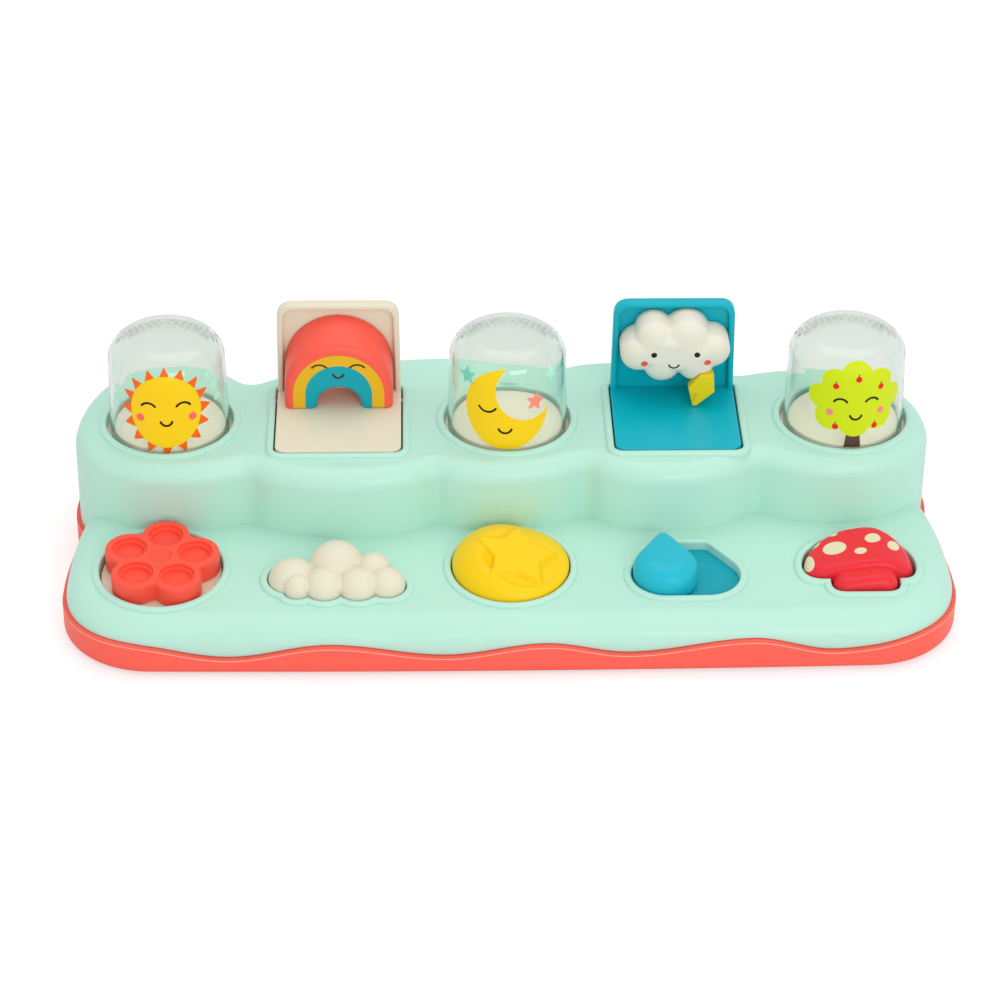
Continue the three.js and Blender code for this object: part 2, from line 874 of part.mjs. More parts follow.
function springStop(x) {
  const rear = barFrontY - barSpringLength - restGap * 2;
  return block(
    [x - barWidth / 2, rear - stopThickness, floorTop - baseFloor / 2],
    [x + barWidth / 2, rear, barBottom + barTabHeight],
  );
}

function baseInsides() {
  const sunk = floorTop - baseFloor / 2;
  const seats = domeStations.map((x) =>
    upright(springSeatRadius, sunk, floorTop + springSeatHeight, x, 0, 16),
  );
  const bosses = screwPlaces().map(([x, y]) => upright(baseBossRadius, sunk, bossSplit - restGap, x, y, 12));
  const bars = [...domeStations, ...lidStations].flatMap((x) => [...barRails(x), springStop(x)]);
  const seatRadius = buttonSpringRadius - buttonSpringWire / 2 - slideGap;
  const seatX = buttonX + buttonSpringX;
  const seatY = buttonSpringEnds().y;
  const buttonSeat = upright(seatRadius, sunk, floorTop + buttonSpringSeat, seatX, seatY, 12);
  return [
    ...seats,
    ...bosses,
    ...bars,
    buttonSeat,
    supportRing(flowerX, domeStations[0], dialOpeningRadius),
    supportRing(knobX, domeStations[1], knobOpeningRadius),
    slideRails(),
  ];
}

function baseBlock(grow, from, to, edge) {
  return joined(
    [tierShape(), deckShape()].map((shape) =>
      edge > 0
        ? prism(shape, from, to + edge * 2, { grow, inset: edge, drop: edge, steps: 1 })
        : prism(shape, from, to, { grow }),
    ),
  );
}

function makeBase() {
  const top = seamMiddle + seamSwing * 2;
  const outside = baseBlock(baseLedge, baseBottom, top, baseEdgeRadius);
  const hollow = baseBlock(-baseRimInset, floorTop, top * 2, 0);
  const tray = cutBy(within(outside, belowSeam(-restGap)), [hollow]);
  const room = baseBlock(-baseRimInset / 2, baseBottom, tierTop, 0);
  const holes = screwPlaces().flatMap(([x, y]) => [
    upright(screwPassRadius, 0, bossSplit + overrun, x, y, 8),
    upright(screwSinkRadius, 0, screwSinkHeight, x, y, 12),
  ]);
  const recesses = footPlaces().map(([x, y]) =>
    upright(footRadius + restGap, 0, footThickness + restGap / 2, x, y, 16),
  );
  return cutBy(joined([tray, within(joined(baseInsides()), room)]), [...holes, ...recesses]);
}

function makeFoot() {
  return upright(footRadius, 0, footThickness, 0, 0, 16);
}

function makeScrew() {
  const seat = screwSinkHeight - restGap / 2;
  return joined([
    upright(screwHeadRadius, seat - screwHeadHeight, seat, 0, 0, 10),
    upright(screwShaftRadius, seat - restGap, seat + screwLength, 0, 0, 6),
  ]);
}

// A round wire bent along a line of points, with flat ends
function wireAlong(points, wireRadius, sides) {
  const positions = [];
  const faces = [];
  let across = new THREE.Vector3();
  points.forEach((point, index) => {
    const before = points[Math.max(0, index - 1)];
    const after = points[Math.min(points.length - 1, index + 1)];
    const forward = after.clone().sub(before).normalize();
    if (index === 0) {
      across = new THREE.Vector3(1, 2, 3).cross(forward).normalize();
    }
    across = across.clone().sub(forward.clone().multiplyScalar(across.dot(forward))).normalize();
    const rise = forward.clone().cross(across);
    for (let side = 0; side < sides; side += 1) {
      const turn = (2 * Math.PI * side) / sides;
      const spot = point.clone();
      spot.addScaledVector(across, wireRadius * Math.cos(turn));
      spot.addScaledVector(rise, wireRadius * Math.sin(turn));
      positions.push(spot.x, spot.y, spot.z);
    }
  });
  for (let ring = 0; ring < points.length - 1; ring += 1) {
    for (let side = 0; side < sides; side += 1) {
      const a = ring * sides + side;
      const b = ring * sides + ((side + 1) % sides);
      faces.push(a, b, b + sides, a, b + sides, a + sides);
    }
  }
  const last = (points.length - 1) * sides;
  for (let side = 1; side < sides - 1; side += 1) {
    faces.push(0, side + 1, side, last, last + side, last + side + 1);
  }
  const geometry = new THREE.BufferGeometry();
  geometry.setAttribute("position", new THREE.Float32BufferAttribute(positions, 3));
  geometry.setIndex(faces);
  return geometry;
}

function helix(radius, from, to, turns, stepsPerTurn) {
  const count = turns * stepsPerTurn;
  return Array.from({ length: count + 1 }, (_, index) => {
    const turn = (2 * Math.PI * index) / stepsPerTurn;
    const z = THREE.MathUtils.lerp(from, to, index / count);
    return new THREE.Vector3(radius * Math.cos(turn), radius * Math.sin(turn), z);
  });
}

// Least distance between the wire's surface and itself a turn further on
function wireGap(points, wireRadius, stepsPerTurn) {
  let least = Infinity;
  points.forEach((point, index) => {
    for (let other = index + stepsPerTurn - 2; other < points.length; other += 1) {
      least = Math.min(least, point.distanceTo(points[other]) - wireRadius * 2);
    }
  });
  return least;
}

const coilSteps = 6;
const wireSides = 4;
const fineSteps = 6;
const fineSides = 3;

// Round pop-up
function makeDome() {
  const shoulderZ = domeTop - domeShoulder;
  const reach = domeTopRadius - domeFlatRadius;
  const arcSteps = 3;
  const outside = [];
  const inside = [];
  for (let step = 0; step <= arcSteps; step += 1) {
    const turn = (Math.PI / 2) * (step / arcSteps);
    outside.push([domeFlatRadius + reach * Math.cos(turn), shoulderZ + domeShoulder * Math.sin(turn)]);
    inside.push([
      domeFlatRadius + (reach - domeWall) * Math.cos(turn),
      shoulderZ + (domeShoulder - domeWall) * Math.sin(turn),
    ]);
  }
  const flangeEnd = domeBottom + flangeThickness;
  return revolved([
    [0, domeTop - domeWall],
    ...inside.reverse(),
    [domeRadius - domeWall, domeBottom],
    [flangeRadius, domeBottom],
    [flangeRadius, flangeEnd],
    [domeRadius, flangeEnd],
    ...outside,
    [0, domeTop],
  ]);
}

function makePlatform() {
  const plug = domeRadius - domeWall - restGap;
  const top = domeBottom - restGap;
  const bottom = top - platformThickness;
  const bore = skirtRadius - platformThickness;
  const body = revolved([
    [0, platformTop - platformThickness],
    [plug - platformThickness, platformTop - platformThickness],
    [plug - platformThickness, bottom],
    [bore, bottom - platformThickness],
    [bore, lipBottom],
    [flangeRadius, lipBottom],
    [flangeRadius, lipBottom + lipThickness],
    [skirtRadius, lipBottom + lipThickness],
    [skirtRadius, bottom],
    [flangeRadius, bottom],
    [flangeRadius, top],
    [plug, top],
    [plug, platformTop],
    [0, platformTop],
  ]);
  const key = block(
    [-keyWidth / 2, skirtRadius - platformThickness / 2, lipBottom],
    [keyWidth / 2, flangeRadius + keyReach, top],
  );
  return joined([body, key]);
}

function makePopSpring() {
  const half = popSpringWire / 2;
  const from = floorTop + half + restGap / 2;
  const to = platformTop - platformThickness - half - restGap / 2;
  const points = helix(popSpringRadius, from, to, popSpringTurns, coilSteps);
  console.log(`pop-up spring, least gap ${wireGap(points, half, coilSteps).toFixed(2)}`);
  return wireAlong(points, half, wireSides);
}

// Flip lid, built about its hinge axis
function panelShape(rim, foot) {
  const low = lidWidth / 2 - rim;
  const high = lidTopWidth / 2 - rim;
  const top = lidTop - lidAxisZ - rim;
  const corner = lidCorner - rim / 2;
  const shape = new THREE.Shape();
  shape.moveTo(-low, foot);
  shape.lineTo(low, foot);
  shape.lineTo(high, top - corner);
  shape.quadraticCurveTo(high, top, high - corner, top);
  shape.lineTo(-high + corner, top);
  shape.quadraticCurveTo(-high, top, -high, top - corner);
  return shape;
}

function makeLid() {
  const front = lidAxisDrop - lidPanelThickness;
  const half = lidWidth / 2;
  const panel = standing(panelShape(0, 0), front, lidAxisDrop);
  const recess = standing(panelShape(lidRim, lidAxisDrop), front - overrun, lidAxisDrop - lidSkin);
  const plate = block([-half, -lidPlateReach, lidAxisDrop - lidPlateThickness], [half, 0, lidAxisDrop]);
  const outline = roundedRectangle(lidWidth, lidPlateReach + lidAxisDrop, lidOpeningCorner - slideGap);
  const footprint = prism(outline, -lidAxisDrop, lidTop, { curve: 3 });
  footprint.translate(0, (lidAxisDrop - lidPlateReach) / 2, 0);
  const barrelHalf = lidOpening / 2 - lidOpeningCorner;
  const barrel = rodAlongX(lidAxisDrop, -barrelHalf, barrelHalf, 0, 0, 20);
  const pocket = block(
    [-springPocketWidth / 2, -lidAxisDrop - overrun, -lidAxisDrop - overrun],
    [springPocketWidth / 2, lidAxisDrop - lidSkin, lidAxisDrop - lidSkin],
  );
  const bore = rodAlongX(pinHoleRadius, -half - overrun, half + overrun, 0, 0, 12);
  return cutBy(within(joined([cutBy(panel, [recess]), plate, barrel]), footprint), [pocket, bore]);
}

function makeHingePin() {
  const reach = lidOpening / 2 + slideGap + bracketThickness + overrun;
  return rodAlongX(pinRadius, -reach, reach, 0, 0, 12);
}

function makeTorsionSpring() {
  const half = torsionWire / 2;
  const length = torsionTurns * torsionPitch;
  const coil = helix(torsionRadius, -length / 2, length / 2, torsionTurns, coilSteps).map(
    ({ x, y, z }) => new THREE.Vector3(z, y, x),
  );
  console.log(`torsion spring, least gap ${wireGap(coil, half, coilSteps).toFixed(2)}`);
  const leg = coil.at(-1).clone().add(new THREE.Vector3(0, -torsionLeg, -torsionLegDrop));
  return wireAlong([...coil, leg], half, wireSides);
}

// Figures on the lids
const figureFront = figureFrontY - lidAxisY;
const figureRear = lidAxisDrop - lidSkin - restGap;
const figureFoot = lidAxisDrop + restGap;

function makeRainbow() {
  const shape = new THREE.Shape();
  shape.moveTo(-rainbowRadius, -tierTop);
  shape.lineTo(-archRadius, -tierTop);
  shape.lineTo(-archRadius, 0);
  shape.absarc(0, 0, archRadius, Math.PI, 0, true);
  shape.lineTo(archRadius, -tierTop);
  shape.lineTo(rainbowRadius, -tierTop);
  shape.lineTo(rainbowRadius, rainbowLegHeight);
  shape.absarc(0, rainbowLegHeight, rainbowRadius, 0, Math.PI);
  const arch = standing(shape, figureFront, figureRear, figureEdge);
  const lean = new THREE.Matrix4().set(
    1, 0, 0, 0,
    0, 1, 0, 0,
    0, rainbowLeanShare, 1, figureFoot - figureFront * rainbowLeanShare,
    0, 0, 0, 1,
  );
  const limit = block([-lidWidth, figureFront - overrun, figureFoot], [lidWidth, figureRear, lidTop]);
  return within(arch.applyMatrix4(lean), limit);
}

function boltShape() {
  return new THREE.Shape(
    boltShares.map(([x, z]) =>
      new THREE.Vector2(boltMiddleX + x * boltHalfWidth, lidAxisDrop + boltTop + z * boltHeight)),
  );
}

function makeBolt() {
  const front = figureFront - boltProud;
  return standing(boltShape(), front, front + boltThickness);
}

function makeCloudFigure() {
  const puffs = figurePuffs.map(({ x, z, r }) => ({ x, y: lidAxisDrop + z, r }));
  const body = standing(scallopShape(puffs), figureFront, figureRear, figureEdge);
  const depth = boltThickness - boltProud + restGap;
  const seat = prism(boltShape(), -depth, figureFrontY, { grow: restGap })
    .rotateX(Math.PI / 2)
    .translate(0, figureFront, 0);
  const limit = block([-lidWidth, figureFront - overrun, figureFoot], [lidWidth, figureRear, lidTop]);
  return within(cutBy(body, [seat]), limit);
}

// Crank pin under a turning control, reaching through the yoke of its bar
const crankBottom = -deckTop + floorTop + floorGap * 2;

function crankPoint() {
  const turn = crankSweep / 2;
  return [crankRadius * Math.cos(turn), crankRadius * Math.sin(turn)];
}

// Flower dial
function makeDialDisc() {
  const radius = dialOpeningRadius - controlGap;
  const bore = radius - supportWall;
  const under = dialDiscTop - dialDiscThickness;
  const cup = revolved([
    [0, under],
    [bore, under],
    [bore, flangeBottom],
    [dialOpeningRadius + flangeProud, flangeBottom],
    [dialOpeningRadius + flangeProud, flangeTop],
    [radius, flangeTop],
    [radius, dialDiscTop],
    [0, dialDiscTop],
  ]);
  const [x, y] = crankPoint();
  const hub = upright(crankHubRadius, flangeBottom, under + overrun, 0, 0, 16);
  const pin = upright(crankPinRadius, crankBottom, under + overrun, x, y, 12);
  return joined([cup, hub, pin]);
}

function makeFlower() {
  const bottom = dialDiscTop + restGap;
  const puff = (radius) => revolved([
    [0, bottom],
    [radius, bottom],
    [radius, flowerTop - flowerEdge],
    [radius - flowerEdge * 0.3, flowerTop - flowerEdge * 0.3],
    [radius - flowerEdge, flowerTop],
    [0, flowerTop],
  ], 16);
  const spots = Array.from({ length: petalCount }, (_, index) => {
    const turn = flowerTurn + Math.PI / 2 + (2 * Math.PI * index) / petalCount;
    return [petalCentreRadius * Math.cos(turn), petalCentreRadius * Math.sin(turn)];
  });
  const petals = spots.map(([x, y]) => puff(petalRadius).translate(x, y, 0));
  const middle = upright(petalCentreRadius - petalRadius / 2, bottom, flowerTop, 0, 0, 20);
  const wells = spots.map(([x, y]) =>
    upright(fingerWellRadius, flowerTop - fingerWellDepth, flowerTop + overrun, x, y, 12));
  const dimple = upright(flowerDimpleRadius, flowerTop - flowerDimpleDepth, flowerTop + overrun, 0, 0, 16);
  return cutBy(joined([middle, ...petals]), [...wells, dimple]);
}

// Moon and star knob
function starOutline() {
  const shape = new THREE.Shape();
  const points = Array.from({ length: 10 }, (_, index) => {
    const turn = starTurn + (Math.PI * index) / 5;
    const radius = index % 2 === 0 ? starRadius : starRadius * starWaistShare;
    return new THREE.Vector2(radius * Math.cos(turn), radius * Math.sin(turn));
  });
  points.forEach((point, index) => {
    if (index % 2 === 1) {
      shape.lineTo(point.x, point.y);
      return;
    }
    const before = points.at(index - 1).clone().lerp(point, starTipShare);
    const after = points[index + 1].clone().lerp(point, starTipShare);
    if (index === 0) {
      shape.moveTo(before.x, before.y);
    } else {
      shape.lineTo(before.x, before.y);
    }
    shape.quadraticCurveTo(point.x, point.y, after.x, after.y);
  });
  return shape;
}

function makeKnob() {
  const radius = knobOpeningRadius - controlGap;
  const bore = radius - supportWall;
  const rise = knobCrown - knobShoulder;
  const crownSteps = 6;
  const crown = [];
  for (let step = 0; step < crownSteps; step += 1) {
    const turn = (Math.PI / 2) * (step / crownSteps);
    crown.push([radius * Math.cos(turn), knobShoulder + rise * Math.sin(turn)]);
  }
  const cap = revolved([
    [0, -skirtDepth],
    [bore, -skirtDepth],
    [bore, flangeBottom],
    [knobOpeningRadius + flangeProud, flangeBottom],
    [knobOpeningRadius + flangeProud, flangeTop],
    [radius, flangeTop],
    ...crown,
    [0, knobCrown],
  ]);
  const lean = (geometry) => geometry.rotateY(knobLean).translate(moonHollowX, moonHollowY, 0);
  const hollow = lean(upright(moonHollowRadius, knobFloor, knobCrown * 3));
  const star = lean(prism(starOutline(), knobFloor - overrun, knobFloor + starHeight, {
    inset: starEdge,
    drop: starEdge,
    steps: 2,
    curve: 3,
  }));
  const [x, y] = crankPoint();
  const pin = upright(crankPinRadius, crankBottom, -skirtDepth + overrun, x, y, 12);
  return joined([cutBy(cap, [hollow]), within(star, upright(radius, 0, knobCrown * 2)), pin]);
}

// A ramp on a latch bar and the foot that rides down it, as outlines in y and z
function rampPair(middleY, run, rise, height) {
  const slope = run / rise;
  const low = middleY + (height * slope) / 2;
  const top = barTop + height;
  const ramp = [
    [low - height * slope - rampThickness, barTop - restGap],
    [low, barTop - restGap],
    [low, barTop],
    [low - height * slope, top],
    [low - height * slope - rampThickness, top],
  ];
  const foot = (reach) => {
    const from = barTop + rise + floorGap;
    const line = (z) => low + slideGap - (z - barTop) * slope;
    return [
      [line(from), from],
      [line(from) + toeThickness, from],
      [line(from) + toeThickness, reach],
      [line(reach), reach],
    ];
  };
  return { ramp, foot };
}

const toeDrop = rockerToeX * Math.sin(rockerTravel);
const buttonRamp = rampPair(
  -rowSpacing + buttonSpringY,
  barTravel + buttonTravel * Math.sin(deckTilt),
  buttonTravel * Math.cos(deckTilt),
  buttonRampHeight,
);
const rockerRampRun = barTravel + toeDrop * Math.sin(deckTilt);
const rockerRamp = rampPair(-rowSpacing, rockerRampRun, toeDrop, rockerRampHeight);

// Cloud button
function makeButton() {
  const balls = buttonPuffs.map(({ x, y, z, r }) =>
    new THREE.SphereGeometry(r, 12, 8).rotateX(Math.PI / 2).translate(x, y, z));
  const above = block([-longReach, -longReach, 0], [longReach, longReach, longReach]);
  const skirt = prism(scallopShape(buttonPuffs), flangeBottom, 0, { curve: buttonCurve });
  const centres = new THREE.Shape(buttonPuffs.map(({ x, y }) => new THREE.Vector2(x, y)));
  const inward = Math.min(...buttonPuffs.map(({ r }) => r)) - wall;
  const core = prism(centres, -overrun, inward, { grow: inward });
  const flangeShape = scallopShape(buttonPuffs, flangeProud);
  const flange = prism(flangeShape, flangeBottom, flangeTop, { curve: buttonCurve });
  const pocket = prism(centres, flangeBottom - overrun, -wall, { grow: inward });
  const cup = cutBy(joined([within(joined(balls), above), core, skirt, flange]), [pocket]);
  const foot = offDeck(sideways(buttonRamp.foot(deckTop - wall / 2), -backPitch, barWidth), buttonX);
  const below = prism(scallopShape(buttonPuffs), -deckTop, -wall / 2, { curve: buttonCurve });
  return joined([cup, within(foot, below)]);
}

function buttonSpringEnds() {
  const half = buttonSpringWire / 2;
  const top = deckPoint(buttonX, buttonSpringY, -wall);
  return { from: floorTop + half + restGap / 2, to: top.z - half - restGap * 2, y: top.y };
}

function makeButtonSpring() {
  const half = buttonSpringWire / 2;
  const { from, to } = buttonSpringEnds();
  const points = helix(buttonSpringRadius, from, to, buttonSpringTurns, coilSteps);
  console.log(`button spring, least gap ${wireGap(points, half, coilSteps).toFixed(2)}`);
  return wireAlong(points, half, wireSides);
}

// Raindrop and the plate it stands on
const slidePlateTop = -wall - restGap;

// A prism whose outline is drawn in towards `middle` above `shoulder`, down to a flat share of it
function crowned(shape, middle, { from, shoulder, top, flatShare, curve, steps }) {
  const outline = shape
    .getPoints(curve)
    .filter((point, index, all) => point.distanceTo(all.at(index - 1)) > restGap / 10);
  const rings = [[1, from]];
  for (let step = 0; step <= steps; step += 1) {
    const turn = (Math.PI / 2) * (step / steps);
    rings.push([flatShare + (1 - flatShare) * Math.cos(turn), shoulder + (top - shoulder) * Math.sin(turn)]);
  }
  const positions = rings.flatMap(([share, z]) =>
    outline.flatMap((point) => {
      const spot = middle.clone().lerp(point, share);
      return [spot.x, spot.y, z];
    }),
  );
  const count = outline.length;
  const under = rings.length * count;
  const faces = [];
  for (let index = 0; index < count; index += 1) {
    const next = (index + 1) % count;
    for (let ring = 0; ring < rings.length - 1; ring += 1) {
      const a = ring * count;
      faces.push(a + index, a + next, a + count + next, a + index, a + count + next, a + count + index);
    }
    faces.push(under, next, index, under + 1, under - count + index, under - count + next);
  }
  positions.push(middle.x, middle.y, from, middle.x, middle.y, top);
  const geometry = new THREE.BufferGeometry();
  geometry.setAttribute("position", new THREE.Float32BufferAttribute(positions, 3));
  geometry.setIndex(faces);
  return geometry;
}

function makeDrop() {
  const middle = new THREE.Vector2(dropStartX, dropMiddleY);
  return crowned(dropShape(dropStartX, 0, 0), middle, {
    from: slidePlateTop + restGap,
    shoulder: dropTop - dropEdge,
    top: dropTop,
    flatShare: dropFlatShare,
    curve: 4,
    steps: 3,
  });
}

function makeSlidePlate() {
  const reach = dropRadius + dropGap + slidePlateMargin;
  const left = dropStartX - reach - dropTravel;
  const right = dropStartX + dropTravel + reach;
  const front = dropMiddleY - reach;
  const rear = dropTipY + dropGap + slidePlateMargin;
  const bottom = slidePlateTop - slidePlateThickness;
  const plate = block([left, front, bottom], [right, rear, slidePlateTop]);
  const pinBottom = -deckTop + floorTop + floorGap * 2;
  const pin = upright(slidePinRadius, pinBottom, bottom + restGap, dropStartX, slidePinY, 12);
  return joined([plate, pin]);
}

// Mushroom rocker
function roofShape(drop) {
  const reach = capHalfWidth + overrun;
  const ridge = rockerRidgeHeight - drop;
  const shape = new THREE.Shape();
  shape.moveTo(-reach, -rockerUnderside);
  shape.lineTo(reach, -rockerUnderside);
  shape.lineTo(reach, ridge - (reach - rockerRidgeX) * rockerRightSlopeShare);
  shape.lineTo(rockerRidgeX, ridge);
  shape.lineTo(-reach, ridge - (reach + rockerRidgeX) * rockerLeftSlopeShare);
  return shape;
}

function makeRocker() {
  const low = -rockerUnderside;
  const capRoof = standing(roofShape(0), capFrontY, capRearY + overrun);
  const stalkRoof = standing(roofShape(stalkStep), stalkFrontY - overrun, capFrontY + overrun);
  const full = prism(mushroomShape(0), low * 2, rockerRidgeHeight * 2, { curve: 4 });
  const upper = within(joined([capRoof, stalkRoof]), full);
  const undercut = cutBy(
    block([-longReach, -longReach, low - overrun], [longReach, longReach, -rockerSkirt]),
    [prism(mushroomShape(-rockerUndercut), low * 2, overrun, { curve: 4 })],
  );
  const pocket = prism(mushroomShape(-rockerUndercut - wall), low * 2, -rockerSkirt, { curve: 4 });
  const bossFront = stalkFrontY + rockerUndercut;
  const bossRear = capRearY - rockerUndercut * 2;
  const boss = rodAlongY(rockerBossRadius, bossFront, bossRear, 0, -rockerAxisDepth, 12);
  const foot = offDeck(sideways(rockerRamp.foot(deckTop), rockerX + rockerToeX, toeThickness), rockerX);
  const toe = within(foot, prism(mushroomShape(-rockerUndercut), -deckTop, 0, { curve: 4 }));
  const bore = rodAlongY(pinHoleRadius, stalkFrontY - overrun, capRearY + overrun, 0, -rockerAxisDepth, 12);
  return cutBy(joined([cutBy(upper, [undercut, pocket]), boss, toe]), [bore]);
}

function makeRockerPin() {
  const standOff = rockerGap + slideGap + bracketThickness;
  return rodAlongY(pinRadius, stalkFrontY - standOff, capRearY + standOff, 0, -rockerAxisDepth, 12);
}

// Latch bars
function barBody(x) {
  return [
    block([x - barWidth / 2, barFrontY, barBottom], [x + barWidth / 2, barRearY, barTop]),
    block(
      [x - barWidth / 2, barFrontY, barBottom],
      [x + barWidth / 2, barFrontY + barTabThickness, barBottom + barTabHeight],
    ),
  ];
}

function domeLatch(x) {
  const top = barBottom + latchHeight;
  const tip = -flangeRadius - latchGap;
  return [
    block([x - barWidth / 2, barRearY - latchThickness, barBottom], [x + barWidth / 2, barRearY, top]),
    block([x - barWidth / 2, barRearY - restGap, top - latchTipThickness], [x + barWidth / 2, tip, top]),
  ];
}

function lidLatch(x) {
  const front = lidArmRearY - lidArmDepth;
  return [
    block([x - barWidth / 2, front, barBottom], [x + barWidth / 2, lidArmRearY, lidArmTop]),
    block(
      [x - barWidth / 2, front, lidArmTop - lidLatchThickness],
      [x + barWidth / 2, lidLatchY, lidArmTop],
    ),
  ];
}

// Plate with a slot for a pin that sweeps `sweep` along x and drives the bar `rise` along y
function yoke(barX, pinX, pinY, radius, sweep, rise) {
  const room = radius + slideGap;
  const halfX = sweep / 2 + room + yokeMargin;
  const halfY = Math.abs(rise) / 2 + room + yokeMargin;
  const middle = { x: pinX + sweep / 2, y: pinY + rise / 2 };
  const plate = block(
    [Math.min(middle.x - halfX, barX - barWidth / 2), middle.y - halfY, barBottom],
    [Math.max(middle.x + halfX, barX + barWidth / 2), middle.y + halfY, barTop],
  );
  const tilt = Math.atan2(rise, sweep);
  const slot = new THREE.Shape();
  slot.absarc(pinX + sweep, pinY + rise, room, tilt - Math.PI / 2, tilt + Math.PI / 2);
  slot.absarc(pinX, pinY, room, tilt + Math.PI / 2, tilt + Math.PI * 1.5);
  return { solids: [plate], cuts: [prism(slot, 0, barTop + overrun, { curve: 4 })] };
}

function makeBar(barX, latch, { solids, cuts }) {
  return cutBy(joined([...barBody(barX), ...latch(barX), ...solids]), cuts);
}

function crankHead(controlX, barX) {
  const [, y] = crankPoint();
  const spot = deckPoint(controlX, y, -deckTop + barTop);
  const least = crankRadius * Math.cos(crankSweep / 2);
  return yoke(barX, controlX + least, spot.y, crankPinRadius, crankRadius - least, 0);
}

function slideHead(barX) {
  const spot = deckPoint(dropX, slidePinY, -deckTop + barTop);
  return yoke(barX, dropX + dropStartX, spot.y, slidePinRadius, dropTravel, barTravel);
}

function buttonHead(barX) {
  return { solids: [sideways(buttonRamp.ramp, barX, barWidth)], cuts: [] };
}

function rockerHead(barX) {
  const x = rockerX + rockerToeX;
  const ys = rockerRamp.ramp.map(([y]) => y);
  const arm = block(
    [barX, Math.min(...ys), barBottom],
    [x + toeThickness / 2 + overrun, Math.max(...ys), barTop],
  );
  return { solids: [arm, sideways(rockerRamp.ramp, x, toeThickness + overrun * 2)], cuts: [] };
}

function makeBarSpring() {
  const half = barSpringWire / 2;
  const points = helix(barSpringRadius, 0, barSpringLength - half * 2, barSpringTurns, fineSteps);
  console.log(`bar spring, least gap ${wireGap(points, half, fineSteps).toFixed(2)}`);
  return wireAlong(points.map(({ x, y, z }) => new THREE.Vector3(x, -z, y)), half, fineSides);
}

// Assembly
const root = new THREE.Group();
const toy = new THREE.Group();
root.add(toy);

function group(parent, x, y, z, tilt = 0) {
  const made = new THREE.Group();
  made.position.set(x, y, z);
  made.rotation.x = tilt;
  parent.add(made);
  return made;
}

function addNode(parent, name, geometry, material) {
  const mesh = new THREE.Mesh(geometry, material);
  mesh.name = name;
  parent.add(mesh);
  return mesh;
}

addNode(toy, "top_shell", makeShell(), mint());
addNode(toy, "base_pan", makeBase(), coral());

const footGeometry = makeFoot();
footPlaces().forEach(([x, y], index) => {
  addNode(group(toy, x, y, 0), `foot_${index + 1}`, footGeometry, rubber());
});

const screwGeometry = makeScrew();
screwPlaces().forEach(([x, y], index) => {
  addNode(group(toy, x, y, 0), `screw_${index + 1}`, screwGeometry, steel());
});

const domeGeometry = makeDome();
const platformGeometry = makePlatform();
const popSpringGeometry = makePopSpring();
domeStations.forEach((x, index) => {
  const station = group(toy, x, 0, 0);
  const name = ["sun", "moon", "tree"][index];
  addNode(station, `${name}_dome`, domeGeometry, clear());
  addNode(station, `${name}_platform`, platformGeometry, cream());
  addNode(station, `${name}_spring`, popSpringGeometry, steel());
});

const lidGeometry = makeLid();
const hingePinGeometry = makeHingePin();
const torsionGeometry = makeTorsionSpring();
const lids = lidStations.map((x, index) => {
  const station = group(toy, x, lidAxisY, lidAxisZ);
  const name = ["rainbow", "storm"][index];
  const lidMaterial = [cream, teal][index]();
  addNode(station, `${name}_lid`, lidGeometry, lidMaterial);
  addNode(station, `${name}_hinge_pin`, hingePinGeometry, steel());
  addNode(station, `${name}_torsion_spring`, torsionGeometry, steel());
  return station;
});
addNode(lids[0], "rainbow_figure", makeRainbow(), coral());
addNode(lids[1], "cloud_figure", makeCloudFigure(), cream());
addNode(lids[1], "lightning_bolt", makeBolt(), yellow());

const places = [flowerX, buttonX, knobX, dropX, rockerX].map((x) =>
  group(toy, x, -rowSpacing, deckTop, deckTilt),
);
addNode(places[0], "dial_disc", makeDialDisc(), cream());
addNode(places[0], "flower_knob", makeFlower(), flowerCoral());
addNode(places[1], "cloud_button", makeButton(), cream());
addNode(places[2], "moon_star_knob", makeKnob(), yellow());
addNode(places[3], "slider_plate", makeSlidePlate(), deepTeal());
addNode(places[3], "raindrop_knob", makeDrop(), teal());
addNode(places[4], "mushroom_rocker", makeRocker(), red());
addNode(places[4], "rocker_pin", makeRockerPin(), steel());
const buttonSpring = group(toy, buttonX + buttonSpringX, buttonSpringEnds().y, 0);
addNode(buttonSpring, "button_spring", makeButtonSpring(), steel());

const bars = [
  { name: "sun", x: domeStations[0], latch: domeLatch, head: crankHead(flowerX, domeStations[0]) },
  { name: "rainbow", x: lidStations[0], latch: lidLatch, head: buttonHead(lidStations[0]) },
  { name: "moon", x: domeStations[1], latch: domeLatch, head: crankHead(knobX, domeStations[1]) },
  { name: "storm", x: lidStations[1], latch: lidLatch, head: slideHead(lidStations[1]) },
  { name: "tree", x: domeStations[2], latch: domeLatch, head: rockerHead(domeStations[2]) },
];
const barSpringGeometry = makeBarSpring();
bars.forEach(({ name, x, latch, head }) => {
  addNode(toy, `${name}_latch_bar`, makeBar(x, latch, head), inner());
  const z = barBottom + barSpringRadius + barSpringWire / 2;
  const spring = group(toy, x, barFrontY - restGap - barSpringWire / 2, z);
  addNode(spring, `${name}_latch_spring`, barSpringGeometry, steel());
});

// Centre the footprint on the origin
root.updateMatrixWorld(true);
const bounds = new THREE.Box3().setFromObject(root, true);
toy.position.x = -(bounds.min.x + bounds.max.x) / 2;
toy.position.y = -(bounds.min.y + bounds.max.y) / 2;
console.log(`moved by ${toy.position.x.toFixed(3)}, ${toy.position.y.toFixed(3)}`);

export default root;
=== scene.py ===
"""Five-station pop-up toy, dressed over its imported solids."""

import math

import bmesh
import bpy
from mathutils import Matrix, Vector


